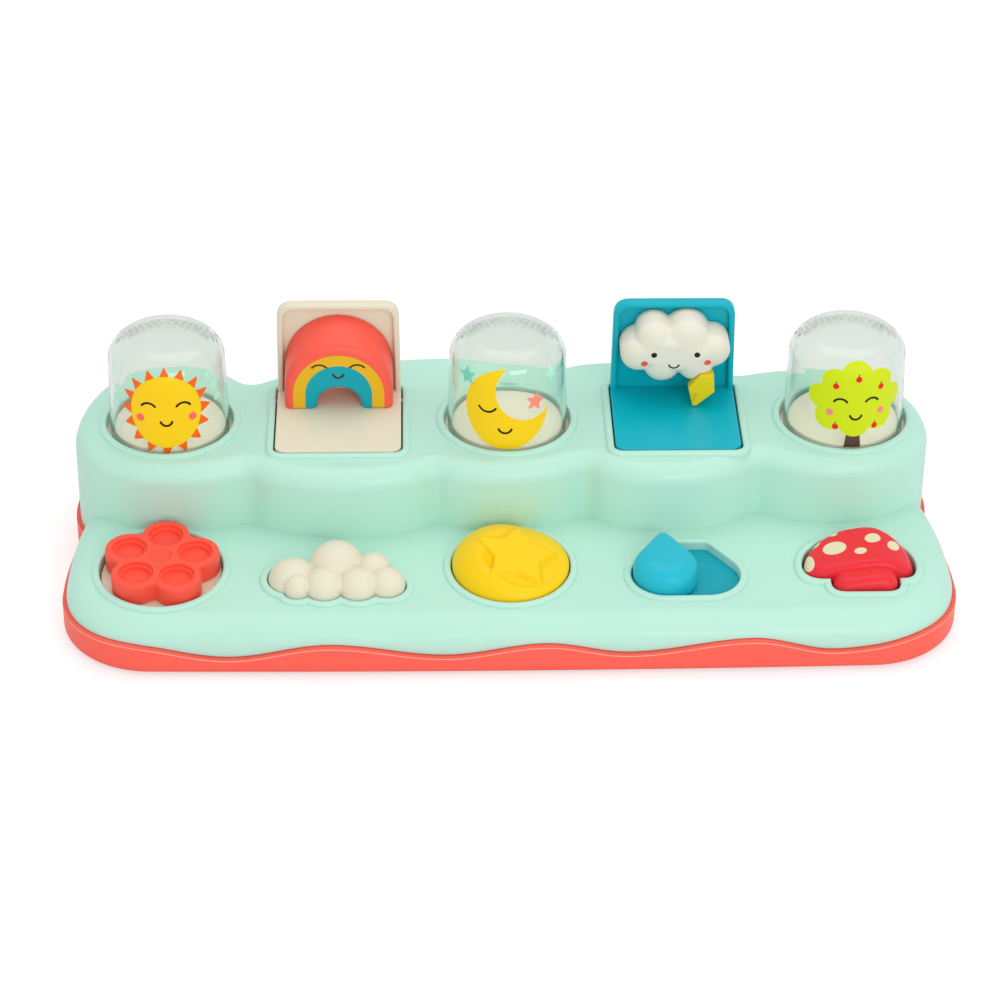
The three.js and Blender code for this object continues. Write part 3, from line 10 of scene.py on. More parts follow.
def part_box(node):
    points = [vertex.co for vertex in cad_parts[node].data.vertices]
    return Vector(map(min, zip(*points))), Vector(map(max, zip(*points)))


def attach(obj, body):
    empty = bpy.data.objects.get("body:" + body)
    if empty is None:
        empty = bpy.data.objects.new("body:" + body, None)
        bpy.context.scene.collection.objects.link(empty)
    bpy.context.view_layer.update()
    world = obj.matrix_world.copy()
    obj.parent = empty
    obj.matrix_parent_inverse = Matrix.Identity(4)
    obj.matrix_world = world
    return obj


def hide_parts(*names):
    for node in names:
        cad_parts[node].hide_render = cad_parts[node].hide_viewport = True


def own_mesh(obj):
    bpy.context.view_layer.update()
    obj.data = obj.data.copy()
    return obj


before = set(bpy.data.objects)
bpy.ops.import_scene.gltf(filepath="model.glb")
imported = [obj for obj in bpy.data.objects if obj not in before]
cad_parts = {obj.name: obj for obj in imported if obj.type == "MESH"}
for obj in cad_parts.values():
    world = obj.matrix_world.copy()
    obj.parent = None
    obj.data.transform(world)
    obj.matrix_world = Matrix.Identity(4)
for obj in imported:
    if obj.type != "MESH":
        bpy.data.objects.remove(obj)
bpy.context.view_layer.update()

# Scale and place: the making below is in millimetres, with the middle of the back row at the origin
MM = 0.001
UP = math.pi / 2
moon_low, moon_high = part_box("moon_dome")
ROW_MIDDLE = Vector(((moon_low.x + moon_high.x) / 2, (moon_low.y + moon_high.y) / 2, 0))
TO_FRAME = Matrix.Translation(ROW_MIDDLE) @ Matrix.Scale(MM, 4)
STANDING = Matrix.Rotation(UP, 4, "X")

# Sizes shared with the solids
BACK_PITCH = 71.3
FRONT_PITCH = 72
ROW_SPACING = 64.2
TIER_TOP = 57
DECK_TOP = 25.2
DECK_TILT = math.radians(3.4)
WALL = 2.4
TIER_EDGE = 8
DECK_EDGE = 12
DECK_DROP = 9
BEAD_WIDTH = 3.2
BEAD_HEIGHT = 1.4
PORT_RADIUS = 26.8
LID_OPENING = 54.1
LID_CORNER = 4
LID_AXIS_Y = 21.3
LID_AXIS_Z = 52.7
LID_DROP = 5.3
FIGURE_FRONT = 7.4
PAN_LEDGE = 1.8
PAN_BOTTOM = 1.2
PAN_FLOOR = 3.6
DOME_RADIUS = 25.2
DOME_TOP = 100
SHOULDER = 11
FLAT_RADIUS = 13
SHOULDER_REACH = 11.4
SHOULDER_ARC = 17.6

DOMES = {"sun": -BACK_PITCH * 2, "moon": 0, "tree": BACK_PITCH * 2}
LIDS = {"rainbow": -BACK_PITCH, "storm": BACK_PITCH}
FLOWER_X, BUTTON_X, KNOB_X, DROP_X, MUSHROOM_X = (FRONT_PITCH * step for step in range(-2, 3))


# Outlines, as lists of points listed anticlockwise
def curve(*controls, steps=20):
    """Points on a curve of two, three or four control points, without its last point."""
    points = []
    for step in range(steps):
        share = step / steps
        row = [Vector(point) for point in controls]
        while len(row) > 1:
            row = [a.lerp(b, share) for a, b in zip(row, row[1:])]
        points.append(row[0])
    return points


def off(x, y, radius, turn, squash=1.0):
    """The point that lies `radius` away from (x, y) in the direction `turn`."""
    return Vector((x + radius * math.cos(turn), y + radius * squash * math.sin(turn)))


def arc(x, y, radius, start, end, steps=24, squash=1.0):
    """Points on an arc from one angle to another, both ends included."""
    return [off(x, y, radius, start + (end - start) * step / steps, squash) for step in range(steps + 1)]


def circle(radius, x=0.0, y=0.0, steps=96):
    return arc(x, y, radius, 0, math.tau, steps)[:-1]


def rounded_box(width, depth, corner, steps=10):
    x = width / 2 - corner
    y = depth / 2 - corner
    points = []
    for index, (side_x, side_y) in enumerate([(1, -1), (1, 1), (-1, 1), (-1, -1)]):
        start = (index - 1) * math.pi / 2
        points += arc(x * side_x, y * side_y, corner, start, start + math.pi / 2, steps)
    return points


def scallops(puffs, grow=0.0, steps=14):
    """Outline round a ring of overlapping circles, given as x, y and radius."""
    def meeting(a, b):
        across = Vector((b[0] - a[0], b[1] - a[1]))
        apart = across.length
        along = (apart ** 2 + (a[2] + grow) ** 2 - (b[2] + grow) ** 2) / (2 * apart)
        out = math.sqrt((a[2] + grow) ** 2 - along ** 2)
        across.normalize()
        return Vector((a[0] + across.x * along + across.y * out, a[1] + across.y * along - across.x * out))

    points = []
    for index, puff in enumerate(puffs):
        before = meeting(puffs[index - 1], puff)
        after = meeting(puff, puffs[(index + 1) % len(puffs)])
        start = math.atan2(before.y - puff[1], before.x - puff[0])
        end = math.atan2(after.y - puff[1], after.x - puff[0])
        while end < start:
            end += math.tau
        points += arc(puff[0], puff[1], puff[2] + grow, start, end, steps)[:-1]
    return points


def thinned(points, least=0.02):
    return [point for index, point in enumerate(points) if (point - points[index - 1]).length > least]


def moved(points, grow):
    """The outline moved outwards, as straight sides that meet in sharp corners."""
    if grow == 0:
        return points
    area = sum(a.x * b.y - b.x * a.y for a, b in zip(points, points[1:] + points[:1]))
    side = grow if area > 0 else -grow
    made = []
    for index, point in enumerate(points):
        arriving = (point - points[index - 1]).normalized()
        leaving = (points[(index + 1) % len(points)] - point).normalized()
        outward = Vector((arriving.y + leaving.y, -arriving.x - leaving.x))
        made.append(point + outward * (side * 2 / max(outward.length_squared, 0.5)))
    return made


def eased(points, corners, reach):
    """The outline with each named corner point rounded over `reach` to both sides."""
    def near(point, distance):
        return any((point - corner).length < distance for corner in corners)

    made = [point for point in points if not near(point, reach) or near(point, 0.01)]
    rounded = []
    for index, point in enumerate(made):
        if near(point, reach):
            rounded += curve(made[index - 1], point, made[(index + 1) % len(made)], steps=8)[1:]
        else:
            rounded.append(point)
    return rounded


# Solids, made with mesh operators
def joined(rings):
    """A closed body through rings of (points, height), all with as many points."""
    mesh = bmesh.new()
    points, height = rings[0]
    ring = [mesh.verts.new((*point, height)) for point in points]
    mesh.faces.new(ring)
    edges = list(mesh.edges)
    for points, height in rings[1:]:
        made = bmesh.ops.extrude_edge_only(mesh, edges=edges)["geom"]
        fresh = {item for item in made if isinstance(item, bmesh.types.BMVert)}
        edges = [item for item in made if isinstance(item, bmesh.types.BMEdge)]
        edges = [edge for edge in edges if fresh.issuperset(edge.verts)]
        upper = []
        for vert, point in zip(ring, points):
            across = [edge.other_vert(vert) for edge in vert.link_edges]
            upper.append(next(other for other in across if other in fresh))
            upper[-1].co = (*point, height)
        ring = upper
    mesh.faces.new(ring)
    bmesh.ops.recalc_face_normals(mesh, faces=mesh.faces)
    return mesh


def lofted(outline, levels):
    """A closed body through copies of an outline, from (how far moved out, height) pairs."""
    outline = thinned(outline)
    return joined([(moved(outline, grow), height) for grow, height in levels])


def lofted_shape(shape, levels):
    """The same, for an outline that is worked out anew at each growth."""
    return joined([(shape(grow), height) for grow, height in levels])


def round_over(inset, drop, top, steps=7):
    """Levels of an edge rounded over by `inset` across and `drop` down, from its foot to its top."""
    turns = [math.pi / 2 * step / steps for step in range(steps + 1)]
    return [(-inset * (1 - math.cos(turn)), top - drop * (1 - math.sin(turn))) for turn in turns]


def slab(outline, low, high, grow=0.0, top=(0, 0), under=(0, 0), steps=6):
    """A plate between two heights, its upper and lower edges rounded over by (inset, drop)."""
    def rim(edge, height, way):
        if not edge[0]:
            return [(grow, height)]
        levels = round_over(*edge, height, steps)
        return [(grow + inset, height + way * (level - height)) for inset, level in levels]

    lower = rim(under, low, -1)[::-1]
    return lofted(outline, lower + rim(top, high, 1))


def turned(profile, steps=96):
    """A body turned about the upright axis from (radius, height) points that start and end on it."""
    mesh = bmesh.new()
    verts = [mesh.verts.new((radius, 0, height)) for radius, height in profile]
    edges = [mesh.edges.new(pair) for pair in zip(verts, verts[1:])]
    bmesh.ops.spin(
        mesh, geom=verts + edges, cent=(0, 0, 0), axis=(0, 0, 1), angle=math.tau, steps=steps, use_merge=True
    )
    bmesh.ops.remove_doubles(mesh, verts=mesh.verts, dist=1e-3)
    bmesh.ops.recalc_face_normals(mesh, faces=mesh.faces)
    return mesh


def rod(radius, low, high, steps=64):
    return turned([(0, low), (radius, low), (radius, high), (0, high)], steps)


def along_x(mesh):
    return placed(mesh, Matrix.Rotation(math.pi / 2, 4, "Y"))


def ball(x, y, z, radius, squash=(1, 1, 1)):
    mesh = bmesh.new()
    bmesh.ops.create_uvsphere(mesh, u_segments=48, v_segments=32, radius=radius)
    return placed(mesh, Matrix.Translation((x, y, z)) @ Matrix.Diagonal((*squash, 1)))


def block(low, high):
    mesh = bmesh.new()
    bmesh.ops.create_cube(mesh, size=1)
    low, high = Vector(low), Vector(high)
    return placed(mesh, Matrix.Translation((low + high) / 2) @ Matrix.Diagonal((*(high - low), 1)))


def placed(mesh, matrix):
    bmesh.ops.transform(mesh, matrix=matrix, verts=mesh.verts)
    return mesh


def shifted(mesh, x, y, z=0):
    return placed(mesh, Matrix.Translation((x, y, z)))


def sliced(mesh, step, axes):
    """The mesh with extra edges at every `step` along each of the axes."""
    for axis in axes:
        spread = [Vector(axis).dot(vert.co) for vert in mesh.verts]
        at = (math.floor(min(spread) / step) + 1) * step
        while at < max(spread):
            geometry = [*mesh.verts, *mesh.edges, *mesh.faces]
            bmesh.ops.bisect_plane(mesh, geom=geometry, dist=1e-4, plane_co=Vector(axis) * at, plane_no=axis)
            at += step
    return mesh


def as_data(name, mesh):
    """The mesh as Blender stores it. The working mesh is freed."""
    data = bpy.data.meshes.new(name)
    mesh.to_mesh(data)
    mesh.free()
    return data


def in_scene(name, data):
    made = bpy.data.objects.new(name, data)
    bpy.context.scene.collection.objects.link(made)
    return made


def gathered(meshes):
    """Several meshes as one, none of them changed."""
    whole = bmesh.new()
    for mesh in meshes:
        data = as_data("gathering", mesh)
        whole.from_mesh(data)
        bpy.data.meshes.remove(data)
    return whole


def with_modifier(mesh, kind, **settings):
    """The mesh after one modifier has been applied to it."""
    data = as_data("shaping", mesh)
    blank = in_scene("shaping", data)
    modifier = blank.modifiers.new("shaping", kind)
    for name, value in settings.items():
        setattr(modifier, name, value)
    shaped = bpy.data.meshes.new_from_object(blank.evaluated_get(bpy.context.evaluated_depsgraph_get()))
    result = bmesh.new()
    result.from_mesh(shaped)
    bpy.data.objects.remove(blank)
    bpy.data.meshes.remove(data)
    bpy.data.meshes.remove(shaped)
    return result


def combined(base, tool, operation):
    data = as_data("tool", tool)
    helper = in_scene("tool", data)
    result = with_modifier(base, "BOOLEAN", operation=operation, object=helper, solver="EXACT")
    bpy.data.objects.remove(helper)
    bpy.data.meshes.remove(data)
    return result


def cut(base, *tools):
    for tool in tools:
        base = combined(base, tool, "DIFFERENCE")
    return base


def fused(base, *tools):
    for tool in tools:
        base = combined(base, tool, "UNION")
    return base


def kept_in(base, limit):
    return combined(base, limit, "INTERSECT")


def relaxed(mesh, verts, passes, axes=(True, True, True)):
    settings = dict(zip(("use_axis_x", "use_axis_y", "use_axis_z"), axes))
    for _ in range(passes):
        bmesh.ops.smooth_vert(mesh, verts=verts, factor=0.5, **settings)
    return mesh


def softened(mesh, voxel, passes):
    """One even skin over the mesh, with its creases and edges smoothed."""
    skin = with_modifier(mesh, "REMESH", mode="VOXEL", voxel_size=voxel)
    return relaxed(skin, skin.verts, passes)


# Finishes
def tint(red, green, blue):
    """A colour given in 0 to 255 as seen, as the linear colour that a shader takes."""
    def linear(value):
        value /= 255
        return value / 12.92 if value <= 0.04045 else ((value + 0.055) / 1.055) ** 2.4

    return (linear(red), linear(green), linear(blue), 1)


COLOR, FLOAT, VECTOR = "NodeSocketColor", "NodeSocketFloat", "NodeSocketVector"


def new_group(name, inputs, outputs):
    """A node group, its source node's outputs and its result node's inputs."""
    tree = bpy.data.node_groups.new(name, "ShaderNodeTree")
    for way, sockets in (("INPUT", inputs), ("OUTPUT", outputs)):
        for socket_name, kind in sockets.items():
            tree.interface.new_socket(name=socket_name, in_out=way, socket_type=kind)
    return tree, tree.nodes.new("NodeGroupInput").outputs, tree.nodes.new("NodeGroupOutput").inputs


def wired(tree, kind, inputs=(), **settings):
    """A node with its settings, each named input given a value or another node's socket."""
    node = tree.nodes.new(kind)
    for name, value in settings.items():
        setattr(node, name, value)
    for name, value in dict(inputs).items():
        if isinstance(value, bpy.types.NodeSocket):
            tree.links.new(value, node.inputs[name])
        else:
            node.inputs[name].default_value = value
    return node


def maths(tree, operation, *terms):
    return wired(tree, "ShaderNodeMath", dict(enumerate(terms)), operation=operation).outputs[0]


def vector_maths(tree, operation, *terms):
    return wired(tree, "ShaderNodeVectorMath", dict(enumerate(terms)), operation=operation)


def ramp(tree, value, low, high, at_low, at_high, kind="LINEAR"):
    """The value's run from `low` to `high`, turned into a run from `at_low` to `at_high`."""
    inputs = {0: value, 1: low, 2: high, 3: at_low, 4: at_high}
    return wired(tree, "ShaderNodeMapRange", inputs, interpolation_type=kind).outputs[0]


def here(tree):
    return tree.nodes.new("ShaderNodeTexCoord").outputs["Object"]


def noise(tree, scale, detail):
    inputs = {"Scale": scale, "Detail": detail, "Vector": here(tree)}
    return wired(tree, "ShaderNodeTexNoise", inputs).outputs["Fac"]


def linked(tree, results, inputs):
    for name, socket in results.items():
        tree.links.new(socket, inputs[name])


MOTTLE_SCALE = 38
GRAIN_SCALE = 1700
GRAIN_DEPTH = 0.00004


def moulded_group():
    """Slow shifts of tone, small shifts of gloss and a fine skin, as on moulded plastic."""
    tree, given, result = new_group(
        "moulded_skin",
        {"Color": COLOR, "Mottle": FLOAT, "Gloss Shift": FLOAT, "Roughness": FLOAT, "Grain": FLOAT},
        {"Color": COLOR, "Roughness": FLOAT, "Normal": VECTOR},
    )
    centred = maths(tree, "SUBTRACT", noise(tree, MOTTLE_SCALE, 2), 0.5)
    value = maths(tree, "ADD", maths(tree, "MULTIPLY", centred, given["Mottle"]), 1.0)
    tone = wired(tree, "ShaderNodeHueSaturation", {"Color": given["Color"], "Value": value})
    gloss = maths(tree, "MULTIPLY_ADD", centred, given["Gloss Shift"], given["Roughness"])
    relief = {"Distance": GRAIN_DEPTH, "Strength": given["Grain"], "Height": noise(tree, GRAIN_SCALE, 3)}
    bump = wired(tree, "ShaderNodeBump", relief)
    made = {"Color": tone.outputs["Color"], "Roughness": gloss, "Normal": bump.outputs["Normal"]}
    linked(tree, made, result)
    return tree


def spot_group():
    """A mask that is 1 inside an ellipse, given by its centre, half sizes and turn."""
    tree, given, result = new_group(
        "print_spot",
        {"Centre": VECTOR, "Half Size": VECTOR, "Axis": VECTOR, "Turn": FLOAT, "Softness": FLOAT},
        {"Mask": FLOAT},
    )
    offset = vector_maths(tree, "SUBTRACT", here(tree), given["Centre"]).outputs[0]
    facing = {"Vector": offset, "Axis": given["Axis"], "Angle": given["Turn"]}
    facing = wired(tree, "ShaderNodeVectorRotate", facing, rotation_type="AXIS_ANGLE").outputs[0]
    share = vector_maths(tree, "DIVIDE", facing, given["Half Size"]).outputs[0]
    reach = vector_maths(tree, "LENGTH", share).outputs["Value"]
    inner = maths(tree, "SUBTRACT", 1.0, given["Softness"])
    outer = maths(tree, "ADD", 1.0, given["Softness"])
    linked(tree, {"Mask": ramp(tree, reach, inner, outer, 1.0, 0.0, "SMOOTHSTEP")}, result)
    return tree


MOULDED = moulded_group()
SPOT = spot_group()
FAR = 1000.0
UPRIGHT_AXIS = (0, 1, 0)
LEVEL_AXIS = (0, 0, 1)


def at_frame(x, y, z):
    return TO_FRAME @ Vector((x, y, z))


def spot(tree, centre, half, axis=UPRIGHT_AXIS, turn=0.0, softness=0.04):
    """The mask of one printed spot. Half sizes are across and up the print, in millimetres."""
    across, up = (value * MM for value in half)
    sizes = (across, FAR, up) if axis == UPRIGHT_AXIS else (across, up, FAR)
    inputs = {"Centre": at_frame(*centre), "Half Size": sizes, "Axis": axis, "Turn": turn}
    inputs["Softness"] = softness
    return wired(tree, "ShaderNodeGroup", inputs, node_tree=SPOT).outputs["Mask"]


def spots_mask(tree, spots):
    """The union of several spots."""
    whole, *others = [spot(tree, **details) for details in spots]
    for mask in others:
        whole = maths(tree, "MAXIMUM", whole, mask)
    return whole


def stroke_spots(x, y, z, radius, width, middle, half_span, count):
    """A curved printed stroke, as overlapping dots along an arc in an upright face."""
    turns = [middle + half_span * (2 * step / (count - 1) - 1) for step in range(count)]
    return [
        {"centre": (x + radius * math.cos(turn), y, z + radius * math.sin(turn)), "half": (width, width)}
        for turn in turns
    ]


GLOSS_SHIFT = 0.16
PLASTIC_IOR = 1.5
PLASTIC_SPECULAR = 0.28


def new_material(name):
    material = bpy.data.materials.new(name)
    material.use_nodes = True
    return material, material.node_tree, material.node_tree.nodes["Principled BSDF"].inputs


def plastic(name, color, roughness=0.36, mottle=0.05, grain=0.16, prints=None):
    """Moulded plastic. `prints` takes the node tree and gives (mask, colour) pairs, bottom first."""
    material, tree, shader = new_material(name)
    layer = color
    for mask, ink_color in prints(tree) if prints else []:
        layer = wired(tree, "ShaderNodeMix", {0: mask, 6: layer, 7: ink_color}, data_type="RGBA").outputs[2]
    inputs = {"Color": layer, "Mottle": mottle, "Roughness": roughness, "Grain": grain}
    inputs["Gloss Shift"] = GLOSS_SHIFT
    skin = wired(tree, "ShaderNodeGroup", inputs, node_tree=MOULDED).outputs
    for name, output in (("Base Color", "Color"), ("Roughness", "Roughness"), ("Normal", "Normal")):
        tree.links.new(skin[output], shader[name])
    shader["IOR"].default_value = PLASTIC_IOR
    shader["Specular IOR Level"].default_value = PLASTIC_SPECULAR
    return material


def ink(name, color):
    return plastic(name, color, roughness=0.42, mottle=0.02, grain=0.05)


CLEAR_TINT = (0.93, 0.975, 0.94, 1)
CLEAR_IOR = 1.38
CROWN_LOW, CROWN_HIGH = 0.0975, 0.0992


def clear_plastic():
    """Water-clear moulding with a faint green cast and a pebbled crown."""
    material, tree, shader = new_material("clear_dome")
    for name, value in {"Base Color": CLEAR_TINT, "Transmission Weight": 1, "IOR": CLEAR_IOR}.items():
        shader[name].default_value = value
    height = wired(tree, "ShaderNodeSeparateXYZ", {0: here(tree)}).outputs["Z"]
    crown = ramp(tree, height, CROWN_LOW, CROWN_HIGH, 0.0, 1.0)
    relief = maths(tree, "MULTIPLY", noise(tree, 520, 2), crown)
    bump = wired(tree, "ShaderNodeBump", {"Strength": 0.2, "Distance": 0.0003, "Height": relief})
    haze = maths(tree, "MULTIPLY_ADD", crown, 0.12, 0.03)
    gloss = maths(tree, "MULTIPLY_ADD", noise(tree, 60, 3), 0.03, haze)
    linked(tree, {"Normal": bump.outputs["Normal"], "Roughness": gloss}, shader)
    return material


def metal(name, color, roughness):
    """Drawn steel wire and turned pins."""
    material = plastic(name, color, roughness=roughness, mottle=0.12, grain=0.3)
    material.node_tree.nodes["Principled BSDF"].inputs["Metallic"].default_value = 1
    return material


MINT = tint(189, 234, 217)
CORAL = tint(255, 100, 84)
CREAM = tint(233, 226, 203)
TEAL = tint(0, 180, 198)
INK_DARK = tint(38, 20, 12)
OCHRE = tint(236, 184, 22)
FACE_Z = 75.6
BAND_LEG = 7
BAND_DEPTH = 2.4
BAND_EDGE = 0.08
OUTER_BAND = 19.3
INNER_BAND = 14.2


def rainbow_prints(tree):
    """Bands and a face on the front of the arch."""
    x = LIDS["rainbow"]
    middle = at_frame(x, FIGURE_FRONT, LID_AXIS_Z + LID_DROP)
    axes = wired(tree, "ShaderNodeSeparateXYZ", {0: here(tree)}).outputs
    side = maths(tree, "SUBTRACT", axes["X"], middle.x)
    raised = maths(tree, "MAXIMUM", maths(tree, "SUBTRACT", axes["Z"], middle.z + BAND_LEG * MM), 0.0)
    spread = wired(tree, "ShaderNodeCombineXYZ", {0: side, 2: raised}).outputs[0]
    reach = vector_maths(tree, "LENGTH", spread).outputs["Value"]
    front = maths(tree, "LESS_THAN", axes["Y"], middle.y + BAND_DEPTH * MM)

    def band(radius):
        inside = ramp(tree, reach, (radius - BAND_EDGE) * MM, (radius + BAND_EDGE) * MM, 1.0, 0.0)
        return maths(tree, "MULTIPLY", inside, front)

    face = stroke_spots(x, FIGURE_FRONT, FACE_Z, 2.2, 0.5, -UP, math.radians(76), 11)
    for eye in (-8, 8):
        face += stroke_spots(x + eye, FIGURE_FRONT, FACE_Z, 4.2, 0.45, UP, math.radians(46), 13)
    face = spots_mask(tree, face)
    return [(band(OUTER_BAND), OCHRE), (band(INNER_BAND), tint(0, 166, 182)), (face, tint(70, 22, 14))]


def cloud_prints(tree):
    x = LIDS["storm"]
    features = [{"centre": (x + eye, 0, 83.4), "half": (1.25, 1.25)} for eye in (-9.2, 9)]
    features += stroke_spots(x - 0.7, 0, 79.2, 2.2, 0.42, -UP, math.radians(70), 11)
    cheeks = [{"centre": (x + side, 0, z), "half": (1.5, 1.5)} for side, z in ((-13.2, 78.9), (13.6, 79.2))]
    return [(spots_mask(tree, cheeks), tint(255, 92, 62)), (spots_mask(tree, features), INK_DARK)]


MUSHROOM_SPOTS = [(-9.4, 12.6, 1.7, 1.4, 0), (-9.8, 3.3, 4.8, 4.1, 10), (0.4, -1.3, 2.5, 2.1, 0),
                  (6.2, 6.4, 3.3, 3.0, -15), (14.6, 3.4, 2.4, 3.4, 25), (-20.7, -1.6, 2.0, 5.0, -8),
                  (-1.3, 16.4, 5.2, 2.2, 0), (13.4, 13.6, 2.6, 1.8, -30), (-17.2, 9.2, 2.0, 2.4, 20)]


def mushroom_prints(tree):
    spots = [
        {"centre": (MUSHROOM_X + x, -ROW_SPACING + y, 0), "half": (across, up), "axis": LEVEL_AXIS,
         "turn": math.radians(turn), "softness": 0.03}
        for x, y, across, up, turn in MUSHROOM_SPOTS
    ]
    return [(spots_mask(tree, spots), tint(233, 224, 188))]


mint = plastic("mint_shell", MINT, roughness=0.33, mottle=0.04)
coral = plastic("coral_pan", CORAL)
# Paler coral for a painted highlight along the pan's ledge edge
painted_highlight = plastic("painted_highlight_line", tint(255, 176, 158), roughness=0.4)
cream = plastic("cream_plastic", CREAM, roughness=0.38)
cloud_white = plastic("cloud_white", tint(236, 231, 214), prints=cloud_prints)
teal = plastic("teal_plastic", TEAL, roughness=0.34, mottle=0.06)
deep_teal = plastic("deep_teal_plastic", tint(0, 166, 184), mottle=0.06)
drop_teal = plastic("drop_teal", tint(32, 188, 210), mottle=0.06)
flower_coral = plastic("flower_coral", tint(255, 88, 68), mottle=0.06)
yellow = plastic("knob_yellow", tint(252, 209, 0), mottle=0.07)
bolt_yellow = plastic("bolt_yellow", tint(240, 214, 20), roughness=0.32, mottle=0.06)
red = plastic("mushroom_red", tint(240, 46, 58), roughness=0.3, mottle=0.06, prints=mushroom_prints)
rainbow_paint = plastic("rainbow_paint", tint(255, 96, 78), mottle=0.06, prints=rainbow_prints)
clear = clear_plastic()
steel = metal("spring_steel", tint(190, 192, 196), 0.28)
rubber = plastic("grey_rubber", tint(150, 152, 150), roughness=0.75, mottle=0.1, grain=0.5)
inner = plastic("inner_white", tint(222, 222, 214), roughness=0.5, mottle=0.06)
INKS = {name: ink(f"ink_{name}", tint(*color)) for name, color in {
    "yellow": (255, 212, 4), "orange": (255, 104, 0), "dark": (24, 16, 10), "blush": (255, 108, 100),
    "aqua": (182, 243, 226), "sea": (122, 216, 190), "salmon": (255, 146, 124), "lime": (210, 230, 0),
    "bark": (92, 66, 54), "apple": (236, 16, 24), "pink": (250, 134, 140),
}.items()}


# Pieces
def piece(name, mesh, body, finish, nodes=(), slot=None, crease=32, weighted=True):
    """The finished piece, in the part's own frame, riding on a body and standing for its nodes."""
    placed(mesh, TO_FRAME)
    facet = mesh.faces.layers.int.get("facet")
    for face in mesh.faces:
        face.smooth = not (facet and face[facet])
    data = as_data(name, mesh)
    data.set_sharp_from_angle(angle=math.radians(crease))
    data.materials.append(finish)
    made = in_scene(name, data)
    if weighted:
        made.modifiers.new("even_normals", "WEIGHTED_NORMAL").keep_sharp = True
    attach(made, body)
    if nodes:
        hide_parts(*nodes)
    return made


def dress(node, mesh, body, finish, slot=None, **looks):
    """The piece that stands for one solid."""
    return piece(f"{node}_skin", mesh, body, finish, [node], slot, **looks)


def on_deck(mesh, x):
    tilt = Matrix.Rotation(DECK_TILT, 4, "X")
    return placed(mesh, Matrix.Translation((x, -ROW_SPACING, DECK_TOP)) @ tilt)


def on_tier(mesh, x):
    return shifted(mesh, x, 0, TIER_TOP)


def on_hinge(mesh, x):
    return shifted(mesh, x, LID_AXIS_Y, LID_AXIS_Z)


# Housing
TIER_LEFT = -BACK_PITCH * 2 - 40
TIER_RIGHT = BACK_PITCH * 2 + 36
FRONT_CREASES = [(-1.52, -31.3), (-0.43, -32.5), (0.455, -28.1), (1.45, -26)]
REAR_CREASES = [(1.39, 38), (0.31, 44.5), (-1.54, 33)]
FRONT_REACHES = [-43.8, -39, -41]
REAR_REACHES = [50.5, 54.6]
END_Y = -2
CREASE_EASE = 5.0


def tier_outline():
    def lobe(start, end, reach):
        swell = (reach - (start.y + end.y) / 2) * 4 / 3
        lead = (end.x - start.x) * 0.18
        return curve(start, (start.x + lead, start.y + swell), (end.x - lead, end.y + swell), end, steps=30)

    def towards(point, end_x, share, y):
        return (point.x + (end_x - point.x) * share, y)

    front, rear = ([Vector((share * BACK_PITCH, y)) for share, y in creases]
                   for creases in (FRONT_CREASES, REAR_CREASES))
    left, right = Vector((TIER_LEFT, END_Y)), Vector((TIER_RIGHT, END_Y))
    points = curve(left, (TIER_LEFT, -38), towards(front[0], TIER_LEFT, 0.37, -47), front[0], steps=30)
    for start, end, reach in zip(front, front[1:], FRONT_REACHES):
        points += lobe(start, end, reach)
    points += curve(front[3], towards(front[3], TIER_RIGHT, 0.37, -46), (TIER_RIGHT, -36), right, steps=30)
    points += curve(right, (TIER_RIGHT, 38), towards(rear[0], TIER_RIGHT, 0.5, 54), rear[0], steps=30)
    for start, end, reach in zip(rear, rear[1:], REAR_REACHES):
        points += lobe(start, end, reach)
    points += curve(rear[2], towards(rear[2], TIER_LEFT, 0.5, 76), (TIER_LEFT, 42), left, steps=30)
    return eased(points, front + rear, CREASE_EASE)


DECK_HALF = FRONT_PITCH * 2 + 39.3
DECK_WAIST_HALF = DECK_HALF - 7.3
DECK_FRONT = 102.2
DECK_CORNER = 36.5
DECK_BOW = 1.5


def deck_outline():
    arc_x = DECK_HALF - DECK_CORNER
    arc_y = -DECK_FRONT + DECK_CORNER
    waist = -15
    middle = (waist - 62) / 2
    points = curve((-DECK_WAIST_HALF, 0), (-DECK_WAIST_HALF, waist), steps=3)
    points += curve((-DECK_WAIST_HALF, waist), (-DECK_HALF, middle), (-DECK_HALF, arc_y), steps=16)
    points += arc(-arc_x, arc_y, DECK_CORNER, math.pi, math.pi * 1.5)[:-1]
    points += curve((-arc_x, -DECK_FRONT), (0, -DECK_FRONT - DECK_BOW * 2), (arc_x, -DECK_FRONT), steps=40)
    points += arc(arc_x, arc_y, DECK_CORNER, -math.pi / 2, 0)[:-1]
    points += curve((DECK_HALF, arc_y), (DECK_HALF, middle), (DECK_WAIST_HALF, waist), steps=16)
    points += curve((DECK_WAIST_HALF, waist), (DECK_WAIST_HALF, 0), steps=3)
    points.append(Vector((DECK_WAIST_HALF, 0)))
    return points


TIER_OUTLINE = tier_outline()
DECK_OUTLINE = deck_outline()


def housing_body(inset, depth):
    tier_edge = TIER_EDGE - inset
    tier = slab(TIER_OUTLINE, -depth, TIER_TOP - inset, grow=-inset, top=(tier_edge, tier_edge), steps=8)
    deck_edge = (DECK_EDGE - inset, DECK_DROP - inset)
    deck = slab(DECK_OUTLINE, -depth - DECK_TOP, -inset, grow=-inset, top=deck_edge, steps=10)
    slope = math.tan(DECK_TILT)
    lean = Matrix(((1, 0, 0, 0), (0, 1, 0, 0), (0, slope, 1, DECK_TOP + ROW_SPACING * slope), (0, 0, 0, 1)))
    return fused(tier, placed(deck, lean))


